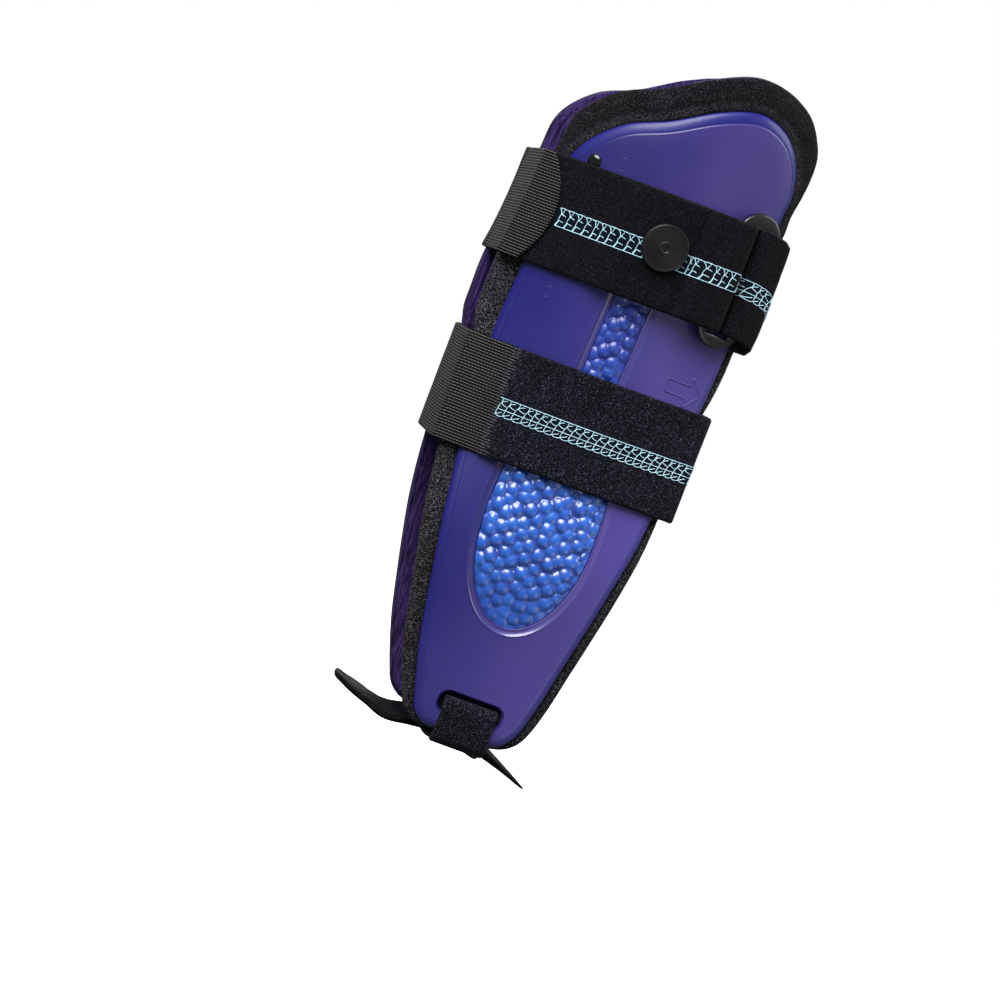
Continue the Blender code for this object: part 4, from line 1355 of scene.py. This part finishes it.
def stitch_tree(name, threads, material, pitch_size, width_size):
    """Rows of one stitch along a strap, bent to the face that the guide gives."""
    group = bpy.data.node_groups.new(name, "GeometryNodeTree")
    group.interface.new_socket("Guide", in_out="INPUT", socket_type="NodeSocketGeometry")
    sizes = {"Pitch": pitch_size, "Width": width_size, "Thread": THREAD_RADIUS, "Start": 0.0, "Middle": 0.0}
    for key, value in sizes.items():
        socket = group.interface.new_socket(key, in_out="INPUT", socket_type="NodeSocketFloat")
        socket.default_value = value
    group.interface.new_socket("Count", in_out="INPUT", socket_type="NodeSocketInt")
    group.interface.new_socket("Stitches", in_out="OUTPUT", socket_type="NodeSocketGeometry")
    tree = Tree(group)
    given = group.nodes.new("NodeGroupInput")
    guide, pitch, width, thread, start, middle, count = given.outputs[:7]
    size = tree.node("ShaderNodeCombineXYZ", sockets={"X": pitch, "Y": width})
    curves = []
    for places in threads:
        ends = [
            tree.node("ShaderNodeVectorMath", {"operation": "MULTIPLY"}, {0: size, 1: (*place, 0.0)})
            for place in places
        ]
        curves.append(
            tree.node(
                "GeometryNodeCurveQuadraticBezier",
                sockets={"Resolution": 4, "Start": ends[0], "Middle": ends[1], "End": ends[2]},
            )
        )
    one = tree.node("GeometryNodeJoinGeometry", sockets={"Geometry": curves[::-1]})
    first = tree.node("ShaderNodeCombineXYZ", sockets={"X": start, "Y": middle})
    step = tree.node("ShaderNodeCombineXYZ", sockets={"X": pitch})
    row = tree.node(
        "GeometryNodeMeshLine", {"mode": "OFFSET"}, {"Count": count, "Start Location": first, "Offset": step}
    )
    placed = tree.node("GeometryNodeInstanceOnPoints", sockets={"Points": row, "Instance": one})
    flat = tree.node("GeometryNodeRealizeInstances", sockets={"Geometry": placed})
    where = tree.node("GeometryNodeInputPosition")
    place = tree.node("GeometryNodeInputNamedAttribute", {"data_type": "FLOAT_VECTOR"}, {"Name": "place"})
    facing = tree.node("GeometryNodeInputNamedAttribute", {"data_type": "FLOAT_VECTOR"}, {"Name": "facing"})
    read = [
        tree.node(
            "GeometryNodeSampleUVSurface", {"data_type": "FLOAT_VECTOR"},
            {"Mesh": guide, "Value": value, "Source UV Map": place, "Sample UV": where},
        )
        for value in (where, facing)
    ]
    proud = tree.node("ShaderNodeVectorMath", {"operation": "SCALE"}, {0: read[1], "Scale": thread})
    bent = tree.node("GeometryNodeSetPosition", sockets={"Geometry": flat, "Position": read[0], "Offset": proud})
    profile = tree.node("GeometryNodeCurvePrimitiveCircle", sockets={"Resolution": 5, "Radius": thread})
    tubes = tree.node(
        "GeometryNodeCurveToMesh", sockets={"Curve": bent, "Profile Curve": profile, "Fill Caps": True}
    )
    whole = tree.node("GeometryNodeRealizeInstances", sockets={"Geometry": tubes})
    finished = tree.node("GeometryNodeSetMaterial", sockets={"Geometry": whole, "Material": material})
    out = group.nodes.new("NodeGroupOutput")
    tree.plug(out.inputs[0], finished)
    return group


def stitch_band(name, strap, middle, start, end, group):
    """Net stitches on a strap's outer face, between two lengths of its run."""
    along, across, face = strap["along"], strap["across"], strap["face"]
    near = np.abs(across - middle) < STITCH_WIDTH
    columns = np.nonzero(near)[0]
    place = np.zeros((len(along), len(columns), 3))
    place[..., 0] = along[:, None]
    place[..., 1] = across[columns][None]
    mesh = bpy.data.meshes.new(name)
    mesh.from_pydata(face[:, columns].reshape(-1, 3).tolist(), [], grid_faces(len(along), len(columns)))
    for key, values in (("place", place), ("facing", strap["normal"][:, columns])):
        layer = mesh.attributes.new(key, "FLOAT_VECTOR", "POINT")
        layer.data.foreach_set("vector", values.astype(np.float32).ravel())
    obj = new_object(name, mesh)
    change = obj.modifiers.new("Stitches", "NODES")
    change.node_group = group
    sockets = {s.name: s for s in group.interface.items_tree if s.item_type == "SOCKET" and s.in_out == "INPUT"}
    pitch = sockets["Pitch"].default_value
    change[sockets["Start"].identifier] = start
    change[sockets["Middle"].identifier] = middle
    change[sockets["Count"].identifier] = int((end - start) / pitch)
    settle(obj)
    form = bmesh.new()
    form.from_mesh(obj.data)
    bmesh.ops.recalc_face_normals(form, faces=form.faces)
    form.to_mesh(obj.data)
    form.free()
    obj.data.shade_smooth()
    return obj


# Finishes

class Value:
    """A number in a material's nodes that Python's operators work on."""

    def __init__(self, tree, socket):
        self.tree = tree
        self.socket = socket

    def maths(self, operation, *values):
        sockets = dict(enumerate(values))
        return Value(self.tree, self.tree.node("ShaderNodeMath", {"operation": operation}, sockets))

    def __add__(self, other):
        return self.maths("ADD", self, other)

    __radd__ = __add__

    def __sub__(self, other):
        return self.maths("SUBTRACT", self, other)

    def __rsub__(self, other):
        return self.maths("SUBTRACT", other, self)

    def __mul__(self, other):
        return self.maths("MULTIPLY", self, other)

    __rmul__ = __mul__

    def __truediv__(self, other):
        return self.maths("DIVIDE", self, other)

    def __pow__(self, other):
        return self.maths("POWER", self, other)

    def sine(self):
        return self.maths("SINE", self)

    def ramp(self, low, high):
        """0 below low and 1 above high, eased between them."""
        sockets = {"Value": self, 1: low, 2: high}
        settings = {"interpolation_type": "SMOOTHSTEP"}
        return Value(self.tree, self.tree.node("ShaderNodeMapRange", settings, sockets))


class Finish(Tree):
    """A material with one Principled shader, its steady values set on its own sockets."""

    def __init__(self, name, **steady):
        self.material = bpy.data.materials.new(name)
        self.material.use_nodes = True
        super().__init__(self.material.node_tree)
        self.shader = self.tree.nodes["Principled BSDF"]
        for key, value in steady.items():
            self.shader.inputs[key.replace("_", " ").title().replace("Ior", "IOR")].default_value = value
        self.place = self.node("ShaderNodeTexCoord", output="Object")

    def value(self, kind, settings=None, sockets=None, output=0):
        return Value(self, self.node(kind, settings, sockets, output))

    def part(self, axis):
        return self.value("ShaderNodeSeparateXYZ", sockets={"Vector": self.place}, output=axis)

    def attribute(self, name):
        return self.value("ShaderNodeAttribute", {"attribute_name": name}, output="Fac")

    def noise(self, scale, detail=2.0, stretch=None, output=0):
        place = self.place
        if stretch:
            place = self.node("ShaderNodeMapping", sockets={"Vector": place, "Scale": stretch})
        return self.value(
            "ShaderNodeTexNoise", sockets={"Vector": place, "Scale": scale, "Detail": detail}, output=output
        )

    def mix(self, amount, low, high):
        sockets = {"Factor_Float": amount, "A_Color": rgba(low), "B_Color": rgba(high)}
        return self.node("ShaderNodeMix", {"data_type": "RGBA"}, sockets, "Result_Color")

    def feed(self, name, value):
        self.plug(self.shader.inputs[name], value)

    def bump(self, height, distance, strength=1.0):
        self.feed(
            "Normal",
            self.node("ShaderNodeBump", sockets={"Height": height, "Distance": distance, "Strength": strength}),
        )


def rgba(colour):
    return (*colour, 1.0) if isinstance(colour, tuple) else colour


def shell_finish():
    """Satin translucent indigo: bluer behind, more violet in front and below, bluest along the rim. The lighter violet
    front is partly the plastic's tone and partly a painted sheen of the soft light from the front; the face is painted
    darker in the middle, between the straps, as painted shade, and is darker towards the top. The bluer rim is a
    painted glow of light through the plastic's edge, painted stronger towards the top.
    """
    finish = Finish("indigo_shell", ior=1.42, coat_roughness=0.20)
    x, z = finish.part("X"), finish.part("Z")
    cloud = finish.noise(38, 3)
    # painted light: the violet front is partly the plastic's tone and partly a painted sheen of the soft light from the
    # front, and the face's middle, between the straps, is painted darker as shade
    front = (x + 0.042 + (cloud - 0.5) * 0.020 + (z - 0.15) ** 2 * 0.8).ramp(0.0, 0.072)
    face = finish.mix(front, (0.0055, 0.0055, 0.110), (0.058, 0.041, 0.215))
    face = finish.mix(z.ramp(0.175, 0.215) * 0.30, face, (0.010, 0.004, 0.045))
    rim = finish.attribute("rim")
    # painted glow: the rim is mixed to a bluer colour that stands in for light through the thick plastic edge, painted
    # stronger towards the top
    colour = finish.mix(rim.ramp(0.05, 0.95) * (0.50 + z.ramp(0.17, 0.22) * 0.5), face, (0.005, 0.005, 0.125))
    finish.feed("Base Color", colour)
    finish.feed("Coat Weight", rim.ramp(0.08, 0.22) * (1 - rim.ramp(0.30, 0.60)) * 0.85 + 0.12)
    grain = finish.noise(2600, 2)
    finish.feed("Roughness", 0.30 + cloud * 0.10 + grain * 0.06 + rim * 0.08)
    finish.bump(grain * 0.5 + finish.noise(260, 2) * 0.5, 0.00003, 0.35)
    return finish.material


def bead_finish():
    """Glossy blue gel with a random tone to each bead. Each bead is painted bright where it bulges, as painted light,
    and deep blue between beads and near the window's edge, as painted shade; the beads are painted deeper blue up the
    neck, where shade falls.
    """
    finish = Finish("blue_beads", ior=1.48, coat_roughness=0.22)
    crown, tone, z = finish.attribute("crown"), finish.attribute("tone"), finish.part("Z")
    # painted light on each bead's bulge and painted shade in the creases between beads
    deep = finish.mix(crown.ramp(0.05, 0.70), (0.005, 0.030, 0.230), (0.012, 0.085, 0.430))
    light = finish.mix(tone * 0.45, deep, (0.020, 0.130, 0.540))
    # painted shade: the beads are mixed to a deeper blue up the neck, where they lie in shade
    neck = z.ramp(0.112, 0.150)
    finish.feed("Base Color", finish.mix(neck * 0.65, light, (0.014, 0.016, 0.190)))
    finish.feed("Coat Weight", 0.80 - neck * 0.55)
    finish.feed("Roughness", 0.30 + finish.noise(500, 2) * 0.08)
    return finish.material


def pile_finish(name, stitched=(), faded=False, lined=False, bare=False):
    """Black brushed pile with fine pale fibre tips; dark ground under the stitch bands.

    A lined pile turns to the violet lining round a pad's edge, and is brushed up along the shell.
    """
    finish = Finish(name, sheen_weight=0.04, sheen_roughness=0.45, specular_ior_level=0.06)
    fine = finish.noise(3100, 3)
    coarse = finish.noise(1550, 2)
    patch = finish.noise(110, 2)
    fibre = fine * 0.72 + coarse * 0.28
    high = finish.part("Z")
    tips = (fibre.ramp(0.49, 0.69) if lined else fibre.ramp(0.53, 0.68)) * (0.30 + patch)
    if lined:
        tip = finish.mix(high.ramp(0.17, 0.20), (0.165, 0.152, 0.168), (0.046, 0.043, 0.048))
    else:
        tip = finish.mix(high.ramp(0.130, 0.150), (0.078, 0.080, 0.140), (0.030, 0.028, 0.037))
    colour = finish.mix(tips, (0.0020, 0.0018, 0.0028), tip)
    if lined:
        near = finish.attribute("outside")
        brushed = near.ramp(0.0002, 0.0010) * (1 - near.ramp(0.0022, 0.0042)) * finish.part("Z").ramp(0.19, 0.22)
        colour = finish.mix(brushed * (fine + coarse - 0.85) * 1.0, colour, (0.085, 0.082, 0.094))
        depth = finish.attribute("depth") + (coarse - 0.5) * 0.0005
        streak = finish.noise(1500, 3, (1.0, 1.0, 0.05)).ramp(0.40, 0.66)
        violet = finish.mix(streak, (0.008, 0.004, 0.028), (0.046, 0.024, 0.115))
        colour = finish.mix(depth.ramp(0.0009, 0.0013), colour, violet)
    across = finish.attribute("across")
    for middle in stitched:
        near = 1 - (across - middle).maths("ABSOLUTE", across - middle).ramp(0.0032, 0.0046)
        colour = finish.mix(near * 0.85, colour, (0.002, 0.005, 0.010))
    if faded:
        end = finish.attribute("from_end")
        ragged = 1 - (end + (finish.noise(650, 3) - 0.5) * 0.009 + (coarse - 0.5) * 0.003).ramp(0.0012, 0.0034)
        colour = finish.mix(ragged * rib_light(finish), colour, (0.120, 0.110, 0.107))
    if bare:
        low = 1 - (finish.part("Z") + (coarse - 0.5) * 0.0016).ramp(-0.0010, 0.0010)
        weave = ((across * (math.tau / 0.0011)).sine() * (finish.attribute("along") * (math.tau / 0.0011)).sine()).ramp(-0.6, 0.9)
        colour = finish.mix(low, colour, finish.mix(weave, (0.005, 0.0030, 0.006), (0.017, 0.0105, 0.019)))
    finish.feed("Base Color", colour)
    finish.feed("Roughness", 0.92 - tips * 0.15)
    finish.bump(fine * 0.6 + coarse * 0.6, 0.00035, 0.75)
    return finish.material


def rib_light(finish):
    """The pale dashes along the elastic's ribs."""
    along, across = finish.attribute("along"), finish.attribute("across")
    rib = ((across * (math.pi / RIB_PITCH)).sine() ** 2).ramp(0.66, 1.0)
    row = (across / RIB_PITCH).maths("FLOOR", across / RIB_PITCH)
    shift = (row * 2.4).sine() * 1.7 + finish.noise(300, 2) * 3.0
    dash = ((along * (math.tau / 0.00125) + shift).sine() * 0.5 + 0.5).ramp(0.10, 0.75)
    return rib * (0.40 + dash * 0.60)


def elastic_finish():
    """Charcoal ribbed weave: pale dashes along each rib and black between."""
    finish = Finish("ribbed_elastic", sheen_weight=0.02, sheen_roughness=0.5, specular_ior_level=0.08)
    light = rib_light(finish) * (0.65 + finish.noise(160, 2) * 0.7)
    colour = finish.mix(light, (0.0020, 0.0016, 0.0016), (0.120, 0.110, 0.107))
    finish.feed("Base Color", colour)
    finish.feed("Roughness", 0.80 + finish.noise(900, 2) * 0.12)
    finish.bump(light + finish.noise(2600, 2) * 0.25, 0.00016, 0.8)
    return finish.material


def black_cloth():
    """Thin black felted cloth of the heel pad, a little shiny along its folds."""
    finish = Finish("black_heel_cloth", specular_ior_level=0.03)
    felt = finish.noise(1700, 3)
    fold = finish.noise(130, 2, (1.0, 0.35, 1.0))
    finish.feed("Base Color", finish.mix(felt.ramp(0.45, 0.75), (0.0012, 0.0010, 0.0012), (0.010, 0.0082, 0.0092)))
    finish.feed("Roughness", 0.62 + felt * 0.20 - fold * 0.22)
    finish.bump(felt * 0.35 + fold * 0.9, 0.00060, 0.8)
    return finish.material


def lining_finish():
    """Dark violet woven textile with fine lengthwise streaks."""
    finish = Finish("violet_lining", sheen_weight=0.06, sheen_roughness=0.4, specular_ior_level=0.12)
    streak = finish.noise(1500, 3, (1.0, 1.0, 0.05))
    tuft = finish.noise(1900, 2)
    light = (streak * 0.75 + tuft * 0.25).ramp(0.40, 0.66)
    colour = finish.mix(light, (0.008, 0.004, 0.028), (0.046, 0.024, 0.115))
    finish.feed("Base Color", colour)
    finish.feed("Roughness", 0.80 + tuft * 0.15)
    finish.bump(streak + tuft * 0.4, 0.00020, 0.7)
    return finish.material


def black_finish(name, roughness, colour, shine=0.5):
    """Moulded black plastic with a faint grain."""
    finish = Finish(name, ior=1.48, coat_weight=0.30 * shine, coat_roughness=0.15, specular_ior_level=shine)
    grain = finish.noise(1500, 3)
    cloud = finish.noise(90, 2)
    darker = tuple(c * 0.7 for c in colour)
    finish.feed("Base Color", finish.mix(cloud, darker, colour))
    finish.feed("Roughness", roughness + grain * 0.10)
    finish.bump(grain, 0.00004, 0.5)
    return finish.material


def thread_finish():
    """Pale blue stitching thread with a soft twist."""
    finish = Finish("pale_blue_thread", sheen_weight=0.2, specular_ior_level=0.4)
    twist = finish.noise(1600, 2)
    finish.feed("Base Color", finish.mix(twist.ramp(0.3, 0.7), (0.30, 0.56, 0.69), (0.60, 0.84, 0.93)))
    finish.feed("Roughness", 0.45 + twist * 0.2)
    return finish.material


# Scene

AZIMUTH, ELEVATION, ROLL = (math.radians(a) for a in (-6.0, 2.5, 20.5))
DISTANCE = 1.8
FRAME_WIDTH = 0.355
NEAR_SIDE = 0.038


def view_axes():
    """Image right, image up and the way to the camera."""
    right = Vector((math.cos(AZIMUTH), math.sin(AZIMUTH), 0))
    toward = Vector(
        (math.sin(AZIMUTH) * math.cos(ELEVATION), -math.cos(AZIMUTH) * math.cos(ELEVATION), math.sin(ELEVATION))
    )
    up = toward.cross(right)
    target = right * -0.0169 + up * 0.08445
    image_right = right * math.cos(ROLL) + up * math.sin(ROLL)
    image_up = up * math.cos(ROLL) - right * math.sin(ROLL)
    return image_right, image_up, toward, target


def make_camera():
    right, up, toward, target = view_axes()
    data = bpy.data.cameras.new("camera")
    data.sensor_width = 36.0
    data.lens = 36.0 * (DISTANCE - NEAR_SIDE) / FRAME_WIDTH
    data.clip_end = 50.0
    camera = bpy.data.objects.new("camera", data)
    bpy.context.scene.collection.objects.link(camera)
    frame = Matrix((right, up, toward)).transposed().to_4x4()
    camera.matrix_world = Matrix.Translation(target + toward * DISTANCE) @ frame
    bpy.context.scene.camera = camera


def soft_light(name, across, upward, forward, size, power, colour=(1, 1, 1)):
    right, up, toward, target = view_axes()
    data = bpy.data.lights.new(name, "AREA")
    data.shape = "DISK"
    data.size = size
    data.energy = power
    data.color = colour
    light = bpy.data.objects.new(name, data)
    bpy.context.scene.collection.objects.link(light)
    place = target + right * across + up * upward + toward * forward
    light.location = place
    light.rotation_euler = (target - place).to_track_quat("-Z", "Y").to_euler()


def make_studio():
    """A plain white floor and backdrop, a dim even fill, and soft lights from above and in front."""
    floor_mesh = bpy.data.meshes.new("floor")
    reach, level = 6.0, -0.075
    corners = [(-reach, -reach, level), (reach, -reach, level), (reach, reach, level), (-reach, reach, level)]
    floor_mesh.from_pydata(corners, [], [(0, 1, 2, 3)])
    floor = bpy.data.objects.new("floor", floor_mesh)
    bpy.context.scene.collection.objects.link(floor)
    finish = Finish("white_floor", roughness=0.9, specular_ior_level=0.0, emission_strength=0.85)
    finish.shader.inputs["Emission Color"].default_value = (1, 1, 1, 1)
    tint = finish.noise(3, 2)
    finish.feed("Base Color", finish.mix(tint, (0.90, 0.90, 0.90), (0.93, 0.93, 0.93)))
    floor_mesh.materials.append(finish.material)
    floor.visible_diffuse = False
    floor.visible_glossy = False
    world = bpy.data.worlds.new("studio")
    world.use_nodes = True
    tree = Tree(world.node_tree)
    backdrop = tree.node("ShaderNodeBackground", sockets={"Color": (1, 1, 1, 1), "Strength": 1.0})
    fill = tree.node("ShaderNodeBackground", sockets={"Color": (0.93, 0.95, 1, 1), "Strength": 0.27})
    seen = tree.node("ShaderNodeLightPath", output="Is Camera Ray")
    both = tree.node("ShaderNodeMixShader", sockets={0: seen, 1: fill, 2: backdrop})
    tree.plug(world.node_tree.nodes["World Output"].inputs["Surface"], both)
    bpy.context.scene.world = world
    bpy.context.scene.view_settings.view_transform = "Standard"
    soft_light("key_light", -0.02, 0.98, 0.86, 1.0, 34.0)
    soft_light("front_light", 0.75, -0.85, 1.0, 1.0, 4.0)
    soft_light("right_light", 1.25, 0.25, 0.05, 0.8, 10.0)
    soft_light("back_light", 0.2, 0.8, -1.2, 0.9, 12.0)


# The brace

def dress(obj, material, slot, *nodes):
    """Gives a finished piece its material and its place in the frame."""
    obj.data.materials.clear()
    obj.data.materials.append(material)
    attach(obj, "root")
    if nodes:
        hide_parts(*nodes)
    return obj


def both_sides(obj, stem, material, slot, node):
    other = mirrored(obj, obj.name.replace("lateral", "medial"))
    for piece, side in ((obj, "lateral"), (other, "medial")):
        dress(piece, material, slot, side + "_" + node)
    return obj, other


def main():
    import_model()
    scene = bpy.context.scene
    scene.collection.children.link(PIECES)
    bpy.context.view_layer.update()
    make_camera()
    make_studio()

    shell = shell_finish()
    pile = pile_finish("black_pile")
    stitched_pile = pile_finish("stitched_pile", (0.0187,))
    faded_pile = pile_finish("seamed_pile", (0.0182,), True)
    elastic = elastic_finish()
    violet = lining_finish()
    satin_black = black_finish("satin_black", 0.30, (0.0030, 0.0027, 0.0038))
    gloss_black = black_finish("gloss_black", 0.08, (0.002, 0.002, 0.002))
    lined_pile = pile_finish("lined_pile", lined=True)

    both_sides(make_shell(), "shell", shell, "shell_plastic", "shell")
    both_sides(make_bead_panel(), "beads", bead_finish(), "bead_plastic", "bead_panel")
    both_sides(make_stud(), "stud", gloss_black, "black_plastic", "stud")
    pad = make_pad()
    cut_pocket(pad)
    mark_pad(pad)
    for piece in both_sides(pad, "pad", lined_pile, "pile_fabric", "pad"):
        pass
    linings = both_sides(make_lining(), "lining", violet, "purple_textile", "lining")
    for piece, side in zip(linings, ("lateral", "medial")):
        side + "_pad_look"

    lower, lower_face = make_lower_strap()
    upper, upper_face = make_upper_strap()
    front, front_face = make_front_strap()
    dress(lower, faded_pile, "pile_fabric", "lower_strap")
    dress(upper, stitched_pile, "pile_fabric", "upper_strap")
    dress(front, stitched_pile, "pile_fabric", "upper_front_strap")
    dress(make_lower_elastic()[0], elastic, "woven_elastic", "lower_elastic")
    dress(make_upper_elastic()[0], elastic, "woven_elastic", "upper_elastic")
    dress(make_ring(), satin_black, "black_plastic", "strap_ring")
    dull_black = black_finish("dull_black", 0.42, (0.0026, 0.0024, 0.0035), 0.3)
    dress(make_button(), dull_black, "black_plastic", "strap_button")
    heel_pad = dress(make_heel_pad(), black_cloth(), "pile_fabric", "heel_pad")
    dress(make_heel_strap()[0], pile_finish("heel_webbing", bare=True), "pile_fabric", "heel_strap")

    thread = thread_finish()
    ladder = stitch_tree("ladder_stitch", LADDER_STITCH, thread, LADDER_PITCH, STITCH_WIDTH)
    scales = stitch_tree("scale_stitch", SCALE_STITCH, thread, SCALE_PITCH, STITCH_WIDTH)
    bands = (
        ("lower_stitches", lower_face, 0.0182, 0.0018, lower_face["along"][-1] - 0.0018, scales),
        ("upper_stitches", upper_face, 0.0187, LAP + 0.0024, 0.0845, ladder),
        ("front_stitches", front_face, 0.0180, 0.0100, front_face["along"][-1] - LAP - 0.004, scales),
    )
    for name, strap, middle, start, end, group in bands:
        dress(stitch_band(name, strap, middle, start, end, group), thread, "pile_fabric")


main()
